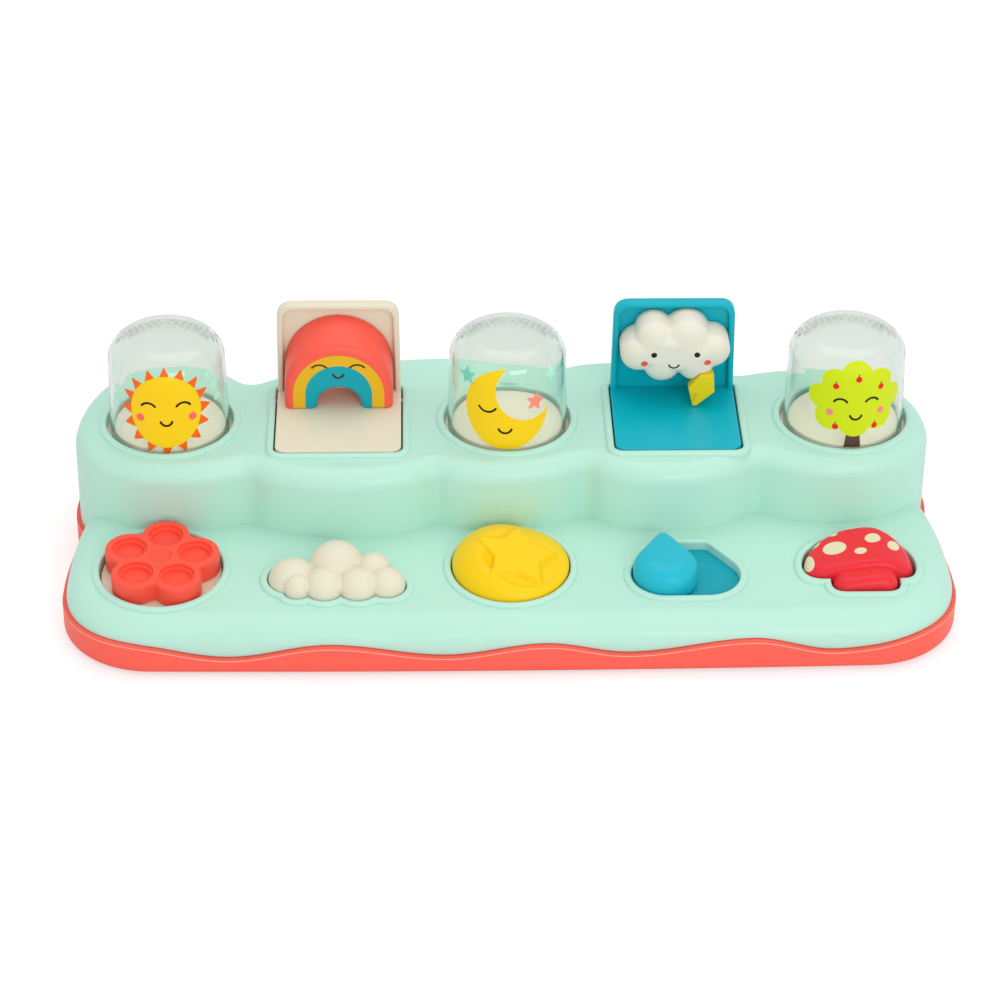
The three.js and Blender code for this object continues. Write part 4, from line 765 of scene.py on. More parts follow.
SEAM_MIDDLE = 12.2
SEAM_SWING = 2.9
SEAM_SHARES = [(-1.1, 0.4), (-0.87, 0.95), (-0.63, -1.2), (-0.405, 0.8), (-0.147, -0.93), (0.076, 0.86),
               (0.258, -0.72), (0.537, 1.24), (0.716, -0.76), (0.93, 0.7), (1.1, 0.5)]


def seam_height(x):
    share = min(max(x / DECK_HALF, SEAM_SHARES[0][0]), SEAM_SHARES[-1][0])
    index = next(i for i, (at, _) in enumerate(SEAM_SHARES) if i > 0 and at >= share)
    (from_at, from_swing), (to_at, to_swing) = SEAM_SHARES[index - 1:index + 1]
    blend = (1 - math.cos(math.pi * (share - from_at) / (to_at - from_at))) / 2
    return SEAM_MIDDLE + SEAM_SWING * (from_swing + (to_swing - from_swing) * blend)


def seam_block(far, lift):
    """Everything on one side of the wavy seam, out to the height `far`."""
    half = DECK_HALF + 20
    xs = [-half + 2 * half * step / 160 for step in range(161)]
    points = [Vector((x, seam_height(x) + lift)) for x in xs]
    points += [Vector((half, far)), Vector((-half, far))]
    return placed(slab(points, -150, 150), STANDING)


BUTTON_PUFFS = [(20 * x, 20 * y, 20 * z, 20 * r) for x, y, z, r in [
    (0.01, -0.06, 0.05, 0.58), (-0.88, -0.38, -0.05, 0.51), (-0.78, -0.79, 0.13, 0.27),
    (-0.23, -0.71, 0.08, 0.41), (0.46, -0.72, 0.07, 0.41), (1.05, -0.66, 0.07, 0.38),
    (0.78, -0.21, 0.13, 0.35),
]]
BUTTON_CIRCLES = [(x, y, r) for x, y, _, r in BUTTON_PUFFS]


def drop_outline(x, travel, grow):
    middle_y, tip_radius, radius = -6.9, 2.6, 13.3
    tip_y = 13.4 - tip_radius
    spread = math.acos((radius - tip_radius) / (tip_y - middle_y))
    end = x + travel
    points = arc(x, middle_y, radius + grow, math.pi / 2 + spread, math.pi * 1.5, 30)
    points += arc(end, middle_y, radius + grow, -math.pi / 2, math.pi / 2 - spread, 30)
    points += arc(end, tip_y, tip_radius + grow, math.pi / 2 - spread, math.pi / 2, 8)
    points += arc(x, tip_y, tip_radius + grow, math.pi / 2, math.pi / 2 + spread, 8)
    return points


def mushroom_outline(grow):
    cap = 22.6 + grow
    front = -9.8 - grow
    left = 1.7 - 13.2 - grow
    right = 1.7 + 13.2 + grow
    foot = -18.4 - grow
    corner = 5 + grow
    brim_left = -cap + (cap + left) * 0.85
    brim_right = cap - (cap - right) * 0.85
    points = arc(0, -2, cap, 0, math.pi, 40, squash=(17 + grow + 2) / cap)[:-1]
    for controls, steps in (
        (((-cap, -2), (-cap, front), (brim_left, front)), 12),
        (((brim_left, front), (left, front)), 2),
        (((left, front), (left, foot + corner)), 3),
        (((left, foot + corner), (left, foot), (left + corner, foot)), 8),
        (((left + corner, foot), (right - corner, foot)), 4),
        (((right - corner, foot), (right, foot), (right, foot + corner)), 8),
        (((right, foot + corner), (right, front)), 3),
        (((right, front), (brim_right, front)), 2),
        (((brim_right, front), (cap, front), (cap, -2)), 12),
    ):
        points += curve(*controls, steps=steps)
    return points


FLOWER_PORT = 25.4
KNOB_PORT = 24.7
BUTTON_GAP = 0.4
DROP_GAP = 0.7
DROP_START = -8.5
DROP_TRAVEL = 17
MUSHROOM_GAP = 1


def openings():
    """Each opening's outline at a given growth, and what sets it in place."""
    def lid_port(grow):
        return rounded_box(LID_OPENING + grow * 2, LID_OPENING + grow * 2, LID_CORNER + grow)

    places = [(lambda grow: circle(PORT_RADIUS + grow), on_tier, x) for x in DOMES.values()]
    places += [(lid_port, on_tier, x) for x in LIDS.values()]
    places += [
        (lambda grow: circle(FLOWER_PORT + grow), on_deck, FLOWER_X),
        (lambda grow: scallops(BUTTON_CIRCLES, BUTTON_GAP + grow), on_deck, BUTTON_X),
        (lambda grow: circle(KNOB_PORT + grow), on_deck, KNOB_X),
        (lambda grow: drop_outline(DROP_START, DROP_TRAVEL, DROP_GAP + grow), on_deck, DROP_X),
        (lambda grow: mushroom_outline(MUSHROOM_GAP + grow), on_deck, MUSHROOM_X),
    ]
    return places


BROW = 1.35
BROW_REACH = 1.5
CUT_REACH = 1.2
CUT_DEPTH = 8
MOUTH = [(0, -CUT_DEPTH), (0, BEAD_HEIGHT - 0.9), (0.13, BEAD_HEIGHT - 0.45), (0.45, BEAD_HEIGHT - 0.13),
         (0.9, BEAD_HEIGHT + 0.01), (0.9, BEAD_HEIGHT + 0.5)]


def bead(outline):
    """The raised rim of an opening, with a deep inner wall and a soft outer step."""
    turns = [math.pi / 12 * step for step in range(7)]
    brow = [(BEAD_WIDTH - BROW_REACH * (1 - math.cos(turn)), BEAD_HEIGHT - BROW * (1 - math.sin(turn)))
            for turn in turns]
    rim = lofted_shape(outline, [(BEAD_WIDTH, -6), (BEAD_WIDTH, -0.3), *brow])
    return cut(rim, lofted_shape(outline, MOUTH))


def make_shell():
    shell = cut(housing_body(0, 10), housing_body(WALL, 20), seam_block(-40, 0))
    beads = []
    for outline, place, x in openings():
        mouth = lofted_shape(outline, [(CUT_REACH, -CUT_DEPTH), (CUT_REACH, CUT_DEPTH)])
        shell = cut(shell, place(mouth, x))
        beads.append(place(bead(outline), x))
    return fused(shell, gathered(beads))


GUIDE_OUTER = 30.8
GUIDE_BORE = 28.8
GUIDE_FOOT = 11


def make_guides():
    guides = []
    for x in DOMES.values():
        guide = rod(GUIDE_OUTER, GUIDE_FOOT, TIER_TOP - WALL / 2)
        guides.append(shifted(cut(guide, rod(GUIDE_BORE, GUIDE_FOOT - 1, TIER_TOP)), x, 0))
    return gathered(guides)


dress("top_shell", make_shell(), "housing", mint, "mint_shell", crease=38)
piece("dome_guides", make_guides(), "housing", mint, slot="mint_shell")


# Pan
SCREWS = [(x * side, y) for side in (-1, 1) for x, y in [(107, 18), (35.65, 36), (107, -93)]]
FEET = [(x, y) for x in (-150, 150) for y in (-78, 22)]
# How far the painted highlight strip stands out past the pan's ledge
HIGHLIGHT_PROUD = 0.06


def footprint(low, high, grow, under=(0, 0)):
    outlines = (TIER_OUTLINE, DECK_OUTLINE)
    return fused(*(slab(outline, low, high, grow=grow, under=under) for outline in outlines))


def make_pan():
    pan = cut(footprint(PAN_BOTTOM, 26, PAN_LEDGE, (2.5, 2.5)), seam_block(70, -0.3))
    pan = cut(pan, footprint(PAN_FLOOR, 30, -1.2))
    pan = fused(pan, gathered([shifted(rod(5, 2.5, 10.7, 32), x, y) for x, y in SCREWS]))
    sink = [(0, -1), (3.4, -1), (3.4, 6.6), (1.8, 6.6), (1.8, 12), (0, 12)]
    sinks = [shifted(turned(sink, 32), x, y) for x, y in SCREWS]
    feet = [shifted(rod(9.3, -1, 2.15, 48), x, y) for x, y in FEET]
    return cut(pan, *sinks, *feet)


def make_pan_highlight():
    """A thin pale strip along the outer edge of the pan's ledge: a painted highlight where the rounded ledge
    edge would catch the light.
    """
    band = cut(footprint(4, 24, PAN_LEDGE + HIGHLIGHT_PROUD), footprint(4, 24, PAN_LEDGE - 0.5))
    return cut(band, seam_block(70, -1.0), seam_block(-40, -1.4))


dress("base_pan", make_pan(), "housing", coral, "coral_pan", crease=38)
# A painted highlight strip along the pan's ledge edge, in paler coral
piece("pan_edge_highlight", make_pan_highlight(), "housing", painted_highlight, slot="coral_pan")


# Round pop-ups
DOME_SKIN = 1.5
DOME_STRAIGHT = DOME_TOP - SHOULDER
DOME_RIM = 54.3
DOME_FLANGE = 28.3
DOME_FLANGE_FOOT = 52.5
DOME_DRAFT = 0.8


def dome_wall(rise, depth=0.0):
    """Radius and height on the dome's outside, `rise` up its wall from z = 0, `depth` under its skin."""
    if rise <= DOME_STRAIGHT:
        climbed = max(0, rise - DOME_RIM) / (DOME_STRAIGHT - DOME_RIM)
        return DOME_RADIUS - DOME_DRAFT * climbed - depth, rise
    turn = min(1, (rise - DOME_STRAIGHT) / SHOULDER_ARC) * math.pi / 2
    radius = FLAT_RADIUS + (SHOULDER_REACH - depth) * math.cos(turn)
    return radius, DOME_STRAIGHT + (SHOULDER - depth) * math.sin(turn)


FACET_TURNS = 96
FACET_ROWS = 6
FACET_START = 86.4
FACET_END = 98.1
FACET_DEPTH = 0.8
FACET_RISES = [FACET_START + (FACET_END - FACET_START) * step / FACET_ROWS for step in range(FACET_ROWS + 1)]
FACET_LEAST_BACK = 0.25
CROWN_RISES = (99.4, 100.8, 102.2, 103.6, 105, 106.6)
INNER_RISES = (60, 80, 89, 91, 93, 95, 97, 99, 101, 103, 105, 106.6)


def facet_row(vert):
    """Which row of the facets' band a vertex of the dome stands on, if any."""
    radius = math.hypot(vert.co.x, vert.co.y)
    for row, rise in enumerate(FACET_RISES):
        at_radius, at_height = dome_wall(rise)
        if abs(radius - at_radius) < 0.02 and abs(vert.co.z - at_height) < 0.02:
            return row
    return None


def make_dome():
    inside = [dome_wall(rise, DOME_SKIN) for rise in INNER_RISES]
    outside = [dome_wall(rise) for rise in (60, 70, 80, *FACET_RISES, *CROWN_RISES)]
    flange = [(DOME_RADIUS - DOME_SKIN, DOME_FLANGE_FOOT), (DOME_FLANGE, DOME_FLANGE_FOOT),
              (DOME_FLANGE, DOME_RIM), (DOME_RADIUS, DOME_RIM)]
    mesh = turned([(0, DOME_TOP - DOME_SKIN), *inside[::-1], *flange, *outside, (0, DOME_TOP)], FACET_TURNS)
    facet = mesh.faces.layers.int.new("facet")
    low = []
    banded = []
    for vert in mesh.verts:
        row = facet_row(vert)
        turn = math.atan2(vert.co.y, vert.co.x)
        back = math.sin(turn)
        if row is None or back < FACET_LEAST_BACK or vert.co.z < 86 + 11 * (1 - back) ** 1.5:
            continue
        banded.append(vert)
        if (round(turn / math.tau * FACET_TURNS) + row) % 2 and 0 < row < FACET_ROWS:
            low.append(vert)
    for face in mesh.faces:
        if all(vert in banded for vert in face.verts):
            face[facet] = 1
    inward = {vert: -vert.normal.copy() for vert in low}
    for vert, way in inward.items():
        vert.co += way * FACET_DEPTH
    bmesh.ops.connect_verts(mesh, verts=low)
    return mesh


PLUG = DOME_RADIUS - 1.8
PLATFORM_PROFILE = [
    (0, 56), (PLUG - 2, 56), (PLUG - 2, 50.2), (23.4, 48.2), (23.4, 41), (28.3, 41), (28.3, 43),
    (25.4, 43), (25.4, 50.2), (28.3, 50.2), (28.3, 52.2), (PLUG, 52.2), (PLUG, 57.4),
    (PLUG - 0.2, 57.8), (PLUG - 0.6, 58), (0, 58),
]

for name, x in DOMES.items():
    body = f"{name}_popup"
    dome = dress(f"{name}_dome", shifted(make_dome(), x, 0), body, clear, "clear_dome", weighted=False)
    dome.visible_shadow = False
    platform = shifted(turned(PLATFORM_PROFILE), x, 0)
    dress(f"{name}_platform", platform, body, cream, "cream_platform")


# Prints on the domes
PRINT_STEP = 1.4
PRINT_LIFT = 0.04
PRINT_LAYER = 0.05
PRINT_THICK = 0.03


def wrapped(outline, layer):
    """A thin printed patch laid round the front of a dome: x is along the wall, y is up it."""
    mesh = sliced(lofted(outline, [(0, 0), (0, PRINT_THICK)]), PRINT_STEP, ((1, 0, 0), (0, 1, 0)))
    lift = PRINT_LIFT + PRINT_LAYER * layer
    for vert in mesh.verts:
        radius, height = dome_wall(vert.co.y)
        turn = vert.co.x / DOME_RADIUS
        radius += lift + vert.co.z
        vert.co = (radius * math.sin(turn), -radius * math.cos(turn), height)
    bmesh.ops.recalc_face_normals(mesh, faces=mesh.faces)
    return mesh


def stroke(x, y, radius, width, start, end, squash=1.0):
    """The outline of a curved stroke with round ends."""
    half = width / 2
    outer = arc(x, y, radius + half, start, end, 16, squash)
    back = arc(x, y, radius - half, end, start, 16, squash)
    far_cap = arc(*off(x, y, radius, end, squash), half, end, end + math.pi, 8)[1:-1]
    near_cap = arc(*off(x, y, radius, start, squash), half, start + math.pi, start + math.tau, 8)[1:-1]
    return outer + far_cap + back + near_cap


def rays(x, y, inner_radius, outer_radius, count):
    """A ring of pointed rays with soft tips."""
    tip = ((-1, inner_radius), (-0.16, outer_radius - 0.9), (0, outer_radius), (0.16, outer_radius - 0.9))
    points = []
    for index in range(count):
        for share, radius in tip:
            points.append(off(x, y, radius, (2 * index + share) * math.pi / count))
    return points


def star(x, y, radius, turn=0.0):
    """A five-pointed star with slightly blunted points."""
    points = []
    for index in range(10):
        at = math.radians(90 + 36 * index) + turn
        tip = [(0.94, -0.09), (1, 0), (0.94, 0.09)] if index % 2 == 0 else [(0.5, 0)]
        points += [off(x, y, radius * share, at + swing) for share, swing in tip]
    return points


def smile(x, y, radius, width, half_span=1.15):
    return stroke(x, y, radius, width, -UP - half_span, -UP + half_span)


def happy_eye(x, y, radius, width, half_span=0.95):
    return stroke(x, y, radius, width, UP - half_span, UP + half_span)


def oval(x, y, radius, squash=1.0):
    return arc(x, y, radius, 0, math.tau, 48, squash)[:-1]


def crescent(x, y, radius, bite_x, bite_y, bite_radius):
    """What a second circle leaves of the first."""
    apart = math.hypot(bite_x, bite_y)
    along = (apart ** 2 + radius ** 2 - bite_radius ** 2) / (2 * apart)
    heading = math.atan2(bite_y, bite_x)
    swing = math.acos(along / radius)
    outer = arc(0, 0, radius, heading + swing, heading + math.tau - swing, 60)
    start, end = (math.atan2(point.y - bite_y, point.x - bite_x) for point in (outer[-1], outer[0]))
    while end > start:
        end -= math.tau
    inner_edge = arc(bite_x, bite_y, bite_radius, start, end, 40)[1:-1]
    return [point + Vector((x, y)) for point in outer + inner_edge]


SUN_MIDDLE = 76.8
SUN_DOTS = [(24.5, 84.5, 2.3), (25.5, 77.5, 1.5), (20.5, 90.5, 1.4), (-23.8, 83.5, 1.5), (-25, 76.5, 2.3),
            (-22.5, 66, 1.4)]
TREE_PUFFS = [(0.5, 94, 7.2), (-8.6, 90.2, 6.4), (-14.0, 80.6, 6.8), (-9.8, 70.2, 7.0), (0.6, 66.6, 6.6),
              (11.0, 69.6, 6.8), (16.2, 79.4, 6.8), (10.6, 89.4, 6.6)]
TREE_CROWN = [Vector((point.x + 1.0, 68.6 + (point.y - 66.6) * 0.86)) for point in scallops(TREE_PUFFS)]
TREE_TRUNK = [Vector(point) for point in ((-2.4, 57.7), (4.6, 57.7), (4.0, 64), (-1.8, 64))]
APPLES = [(-7.4, 86.6), (2.2, 90.2), (12.6, 85.4), (-6.6, 67.4), (10.4, 67.2)]
PRINTS = {
    "sun": [
        *[("aqua", 1, oval(*dot)) for dot in SUN_DOTS],
        ("orange", 1, rays(0.6, SUN_MIDDLE, 15.2, 20.8, 16)),
        ("yellow", 2, oval(0.6, SUN_MIDDLE, 15.6, 1.08)),
        *[("dark", 3, happy_eye(x, 77.4, 3.6, 1.0)) for x in (-6.8, 8.2)],
        ("dark", 3, smile(0.7, 73.0, 2.5, 1.0, 1.3)),
        *[("blush", 3, oval(x, 73.6, 1.8)) for x in (-10.6, 12.0)],
    ],
    "moon": [
        ("yellow", 1, crescent(-1.0, 76.8, 18.9, 9.0, 8.4, 13.8)),
        ("sea", 2, star(-19.6, 89.6, 4.4, 0.15)),
        ("salmon", 2, star(11.6, 79.6, 4.4, -0.2)),
        ("aqua", 2, star(20.4, 90.4, 3.9, 0.3)),
        ("dark", 2, smile(-9.4, 79.6, 4.4, 0.95, 1.0)),
        ("dark", 2, smile(-1.6, 68.6, 2.9, 0.95, 1.2)),
    ],
    "tree": [
        ("bark", 1, TREE_TRUNK),
        ("lime", 2, TREE_CROWN),
        *[("dark", 3, happy_eye(x, 77.4, 3.4, 0.95)) for x in (-5.0, 8.6)],
        ("dark", 3, smile(1.8, 73.6, 2.5, 0.95, 1.3)),
        *[("pink", 3, oval(x, 74.0, 1.5)) for x in (-9.4, 13.0)],
        *[("apple", 3, oval(x, y, 1.35)) for x, y in APPLES],
        *[("bark", 3, stroke(x + 0.9, y + 1.5, 1.0, 0.4, math.pi * 0.75, math.pi * 1.1)) for x, y in APPLES],
    ],
}

for name, layers in PRINTS.items():
    by_ink = {}
    for ink_name, layer, outline in layers:
        by_ink.setdefault(ink_name, []).append(wrapped(outline, layer))
    for ink_name, patches in by_ink.items():
        prints = shifted(gathered(patches), DOMES[name], 0)
        piece(f"{name}_print_{ink_name}", prints, f"{name}_popup", INKS[ink_name], weighted=False)


# Flip lids, made about their hinge
LID_WIDTH = 52.9
LID_TOP_WIDTH = 51.6
LID_HEIGHT = 100.6 - LID_AXIS_Z
LID_PANEL = 5
LID_RIM = 2.6
PLATE_REACH = 47.3
PLATE_CORNER = 4.8


def panel_outline(rim, foot, corner):
    low = LID_WIDTH / 2 - rim
    high = LID_TOP_WIDTH / 2 - rim
    top = LID_HEIGHT - rim
    points = [Vector((-low, foot)), Vector((low, foot))]
    points += curve((high, top - corner), (high, top), (high - corner, top), steps=10)
    points += curve((-high + corner, top), (-high, top), (-high, top - corner), steps=10)
    points.append(Vector((-high, top - corner)))
    return points


LID_FRONT = LID_DROP - LID_PANEL
LID_FLOOR = -LID_DROP + 2
LID_MOUTH = [(0, LID_FLOOR), (0, -LID_FRONT - 1.0), (0.25, -LID_FRONT - 0.35), (0.8, -LID_FRONT + 0.05),
             (0.8, -LID_FRONT + 2)]
BARREL_HALF = 23.05
PIN_BORE = 1.8


def make_lid():
    panel = slab(panel_outline(0, 0, 7), -LID_DROP, -LID_FRONT, top=(1.1, 1.1), under=(0.8, 0.8))
    recess = lofted(panel_outline(LID_RIM, LID_DROP, 5.2), LID_MOUTH)
    tray = cut(placed(panel, STANDING), placed(recess, STANDING))
    plate = slab(rounded_box(LID_WIDTH, PLATE_REACH + LID_DROP, PLATE_CORNER), LID_DROP - 2.5, LID_DROP,
                 top=(0.7, 0.7), under=(0.4, 0.4))
    plate = shifted(plate, 0, (LID_DROP - PLATE_REACH) / 2)
    lid = fused(tray, plate, along_x(rod(LID_DROP, -BARREL_HALF, BARREL_HALF)))
    pocket = block((-7.5, -LID_DROP - 1, -LID_DROP - 1), (7.5, LID_DROP - 2, LID_DROP - 2))
    return cut(lid, along_x(rod(PIN_BORE, -40, 40, 32)), pocket)


for name, finish, slot_name in (("rainbow", cream, "cream_lid"), ("storm", teal, "storm_lid_teal")):
    dress(f"{name}_lid", on_hinge(make_lid(), LIDS[name]), f"{name}_flap", finish, slot_name)


# Figures on the lids
FRONT_Y = FIGURE_FRONT - LID_AXIS_Y
REAR_Y = LID_DROP - 2 - 0.3
FOOT_Z = LID_DROP + 0.3

ARCH_INNER = 9.1
ARCH_OUTER = 23
ARCH_LEG = 7.4
ARCH_LEAN = 0.36


def make_rainbow():
    outline = [Vector((-ARCH_INNER, -40)), *arc(0, 0, ARCH_INNER, math.pi, 0, 40)]
    outline += [Vector((ARCH_INNER, -40)), Vector((ARCH_OUTER, -40))]
    outline += [*arc(0, ARCH_LEG, ARCH_OUTER, 0, math.pi, 64), Vector((-ARCH_OUTER, -40))]
    arch = placed(slab(outline, -REAR_Y, -FRONT_Y, top=(3, 3), steps=7), STANDING)
    rise = FOOT_Z - FRONT_Y * ARCH_LEAN
    shear = Matrix(((1, 0, 0, 0), (0, 1, 0, 0), (0, ARCH_LEAN, 1, rise), (0, 0, 0, 1)))
    arch = kept_in(placed(arch, shear), block((-30, FRONT_Y - 5, FOOT_Z), (30, REAR_Y + 1, 60)))
    return softened(arch, 0.4, 3)


rainbow = on_hinge(make_rainbow(), LIDS["rainbow"])
dress("rainbow_figure", rainbow, "rainbow_flap", rainbow_paint, "rainbow_bands", crease=50)

FIGURE_PUFFS = [(20 * x, LID_DROP + 20 * z, 20 * r) for x, z, r in [
    (0.255, 1.48, 0.49), (-0.45, 1.55, 0.39), (-0.765, 1.18, 0.395), (-0.27, 0.92, 0.395), (0.43, 0.94, 0.4),
    (0.79, 1.25, 0.38)]]
PUFF_DEPTH = 4.8


def on_bolt(*shares):
    return [Vector((11.4 + x * 5.6, LID_DROP + 15.6 + z * 15)) for x, z in shares]


BOLT_POINTS = on_bolt((-0.15, 0), (0.9, 0), (1, -0.55), (-0.35, -1), (-0.65, -1), (-1, -0.42))
BOLT_DENT = on_bolt((-0.8, -0.6), (-0.62, -0.84), (-0.3, -0.6))


def make_cloud():
    parts = []
    for x, z, radius in FIGURE_PUFFS:
        parts.append(ball(x, FRONT_Y + PUFF_DEPTH + 0.3, z, radius, (1, PUFF_DEPTH / radius, 1)))
        back = placed(slab(circle(radius), -REAR_Y, -FRONT_Y - PUFF_DEPTH), STANDING)
        parts.append(shifted(back, x, 0, z))
    middle = [Vector((x, z)) for x, z, _ in FIGURE_PUFFS]
    parts.append(placed(slab(middle, -REAR_Y, -FRONT_Y - 0.2, grow=2.2, top=(3.5, 2.5)), STANDING))
    skin = softened(gathered(parts), 0.4, 20)
    return cut(skin, placed(slab(BOLT_POINTS, -FRONT_Y - 4.5, -FRONT_Y + 4, grow=0.3), STANDING))


def make_bolt():
    bolt = slab(BOLT_POINTS, -FRONT_Y - 4.2, -FRONT_Y + 0.8, top=(0.7, 0.6), under=(0.3, 0.3), steps=2)
    return placed(cut(bolt, slab(BOLT_DENT, -FRONT_Y, -FRONT_Y + 4)), STANDING)


cloud = on_hinge(make_cloud(), LIDS["storm"])
dress("cloud_figure", cloud, "storm_flap", cloud_white, "white_cloud", crease=50)
bolt = on_hinge(make_bolt(), LIDS["storm"])
dress("lightning_bolt", bolt, "storm_flap", bolt_yellow, "yellow_bolt", crease=20)


# Flower dial
PETAL_TURNS = [math.radians(84.5 + 72 * index) for index in range(5)]
PETALS = [(14.3 * math.cos(turn), 14.3 * math.sin(turn)) for turn in PETAL_TURNS]
PETAL_RADIUS = 10.1
PETAL_EASE = 1.6
DISC_PROFILE = [(0, -4.4), (22.5, -4.4), (22.5, -8), (27.4, -8), (27.4, -6), (24.9, -6), (24.9, -2.5),
                (24.4, -2), (0, -2)]
WELL_PROFILE = [(0, 4.0), (5.7, 4.0), (5.95, 4.2), (5.95, 5.3), (6.15, 5.5), (6.7, 5.5), (7.05, 5.75),
                (7.1, 6.9), (7.3, 7.2), (7.7, 7.42), (7.8, 9), (0, 9)]
DIMPLE_PROFILE = [(0, 6.5), (3.7, 6.5), (4.3, 6.8), (4.8, 7.42), (4.8, 9), (0, 9)]


def make_flower():
    outline = scallops([(x, y, PETAL_RADIUS) for x, y in PETALS], steps=26)
    nearest = min(point.length for point in outline)
    corners = [point for point in outline if point.length - nearest < 0.02]
    body = slab(eased(outline, corners, PETAL_EASE), -1.7, 7.4, top=(1.3, 1.3), under=(0.3, 0.3))
    wells = [shifted(turned(WELL_PROFILE, 64), x, y) for x, y in PETALS]
    return cut(body, *wells, turned(DIMPLE_PROFILE, 64))


dress("dial_disc", on_deck(turned(DISC_PROFILE), FLOWER_X), "flower_dial", cream, "cream_dial")
dress("flower_knob", on_deck(make_flower(), FLOWER_X), "flower_dial", flower_coral, "coral_flower")


# Cloud button
BUTTON_SPRING_OFFSET = Vector((12, -7))
BUTTON_FOOT = -4.6
BUTTON_SEAT = -2.8
BUTTON_SEAT_RADIUS = 6.6


def make_button():
    parts = [ball(*puff) for puff in BUTTON_PUFFS]
    parts.append(slab(scallops(BUTTON_CIRCLES), -7, 1.2))
    parts.append(slab([Vector((x, y)) for x, y, _ in BUTTON_CIRCLES], -2, 4.6))
    button = kept_in(softened(gathered(parts), 0.4, 5), slab(scallops(BUTTON_CIRCLES), BUTTON_FOOT, 20))
    return cut(button, shifted(rod(BUTTON_SEAT_RADIUS, -8, BUTTON_SEAT, 48), *BUTTON_SPRING_OFFSET))


dress("cloud_button", on_deck(make_button(), BUTTON_X), "cloud_key", cream, "cream_button", crease=60)


# Moon and star knob
KNOB_RADIUS = 24.2
STAR_PLACE = Vector((2.6, -2.8))
STAR_RADIUS = 17.8
STAR_TURN = math.radians(15)
STAR_WAIST = 0.57
HOLLOW_PLACE = Vector((4.6, -3.4))
HOLLOW_RADIUS = 19.0
KNOB_RIM = 1.2


def smooth_share(value, low, high):
    share = min(1, max(0, (value - low) / (high - low)))
    return share * share * (3 - 2 * share)


def outside_star(point):
    """How far a point lies outside the star, negative within it."""
    turn = (math.atan2(point.y, point.x) - STAR_TURN) % (math.tau / 5)
    turn = min(turn, math.tau / 5 - turn)
    folded = Vector((point.length * math.cos(turn), point.length * math.sin(turn)))
    tip = Vector((STAR_RADIUS, 0))
    waist = Vector((math.cos(math.pi / 5), math.sin(math.pi / 5))) * (STAR_RADIUS * STAR_WAIST)
    side = (waist - tip).normalized()
    return (folded - tip).dot(Vector((side.y, -side.x)))


def knob_height(x, y):
    """The crescent's swell, with a hollow sunk in it and the star standing level in the hollow."""
    reach = min(1, math.hypot(x, y) / KNOB_RADIUS)
    swell = 9.3 + 2.9 * math.tanh((1 - x) / 8)
    crown = KNOB_RIM + swell * math.sqrt(1 - reach * reach)
    offset = Vector((x, y)) - STAR_PLACE
    level = 9.5 - 0.2 * offset.x + 0.12 * offset.y
    inside = HOLLOW_RADIUS - (Vector((x, y)) - HOLLOW_PLACE).length
    base = crown + (min(crown, level - 2.8) - crown) * smooth_share(inside, 0, 5)
    raised = smooth_share(-outside_star(offset), -0.5, 0.6)
    return base + (min(max(base, level), crown + 1.8) - base) * raised


def make_knob():
    rings = 72
    crown = [(KNOB_RADIUS * math.cos(turn), KNOB_RIM + math.sin(turn))
             for turn in (math.pi / 2 * step / rings for step in range(rings))]
    mesh = turned([(0, -6.5), (KNOB_RADIUS, -6.5), *crown, (0, KNOB_RIM + 1)], 160)
    for vert in mesh.verts:
        if vert.co.z > KNOB_RIM - 0.01:
            vert.co.z = knob_height(vert.co.x, vert.co.y)
    top = [vert for vert in mesh.verts if vert.co.z > KNOB_RIM + 0.1]
    return relaxed(mesh, top, 2, (False, False, True))


dress("moon_star_knob", on_deck(make_knob(), KNOB_X), "star_dial", yellow, "yellow_knob", crease=60)


# Raindrop
DROP_MIDDLE = Vector((DROP_START, -6.9))
DROP_SHOULDER = 4
DROP_CROWN = 6.4
DROP_TIP_LIFT = 2.2
DROP_LEVELS = 14


def make_drop():
    levels = [(0, DROP_SHOULDER + 6 * step / DROP_LEVELS) for step in range(DROP_LEVELS + 1)]
    mesh = lofted(drop_outline(DROP_START, 0, 0), [(0, -2.4), *levels])
    for vert in mesh.verts:
        if vert.co.z > DROP_SHOULDER:
            turn = math.pi / 2 * (vert.co.z - DROP_SHOULDER) / 6
            lift = DROP_TIP_LIFT * smooth_share(vert.co.y, -2, 12)
            flat = DROP_MIDDLE.lerp(vert.co.xy, 0.4 + 0.6 * math.cos(turn))
            vert.co = (flat.x, flat.y, DROP_SHOULDER + lift + (DROP_CROWN - lift) * math.sin(turn))
    return softened(mesh, 0.35, 14)


dress("raindrop_knob", on_deck(make_drop(), DROP_X), "drop_slider", drop_teal, "teal_drop", crease=60)


# Mushroom rocker
CAP_FRONT = -9.8
CAP_SHARPENED = CAP_FRONT + 0.6
STALK_LEFT, STALK_RIGHT, STALK_FRONT, STALK_REAR = -11.5, 14.9, -18.4, -4
RIDGE_X = 7.4
RIDGE_HEIGHT = 8.4


def roof_height(x):
    """The soft ridge on the rocker: a slow fall to the left and a steeper one to the right."""
    across = x - RIDGE_X
    fall = 0.11 + 0.022 * across if across > 0 else 0.0049 * across - 0.08
    return RIDGE_HEIGHT - fall * across


def roofed(outline, edge, drop):
    """A body on an outline, its top rounded over and laid on the ridge."""
    mesh = sliced(slab(outline, -6.2, 0, top=(edge, edge), steps=8), 1, ((1, 0, 0), (0, 1, 0)))
    for vert in mesh.verts:
        if vert.co.z > -6.1:
            vert.co.z += roof_height(vert.co.x) - drop
    return mesh


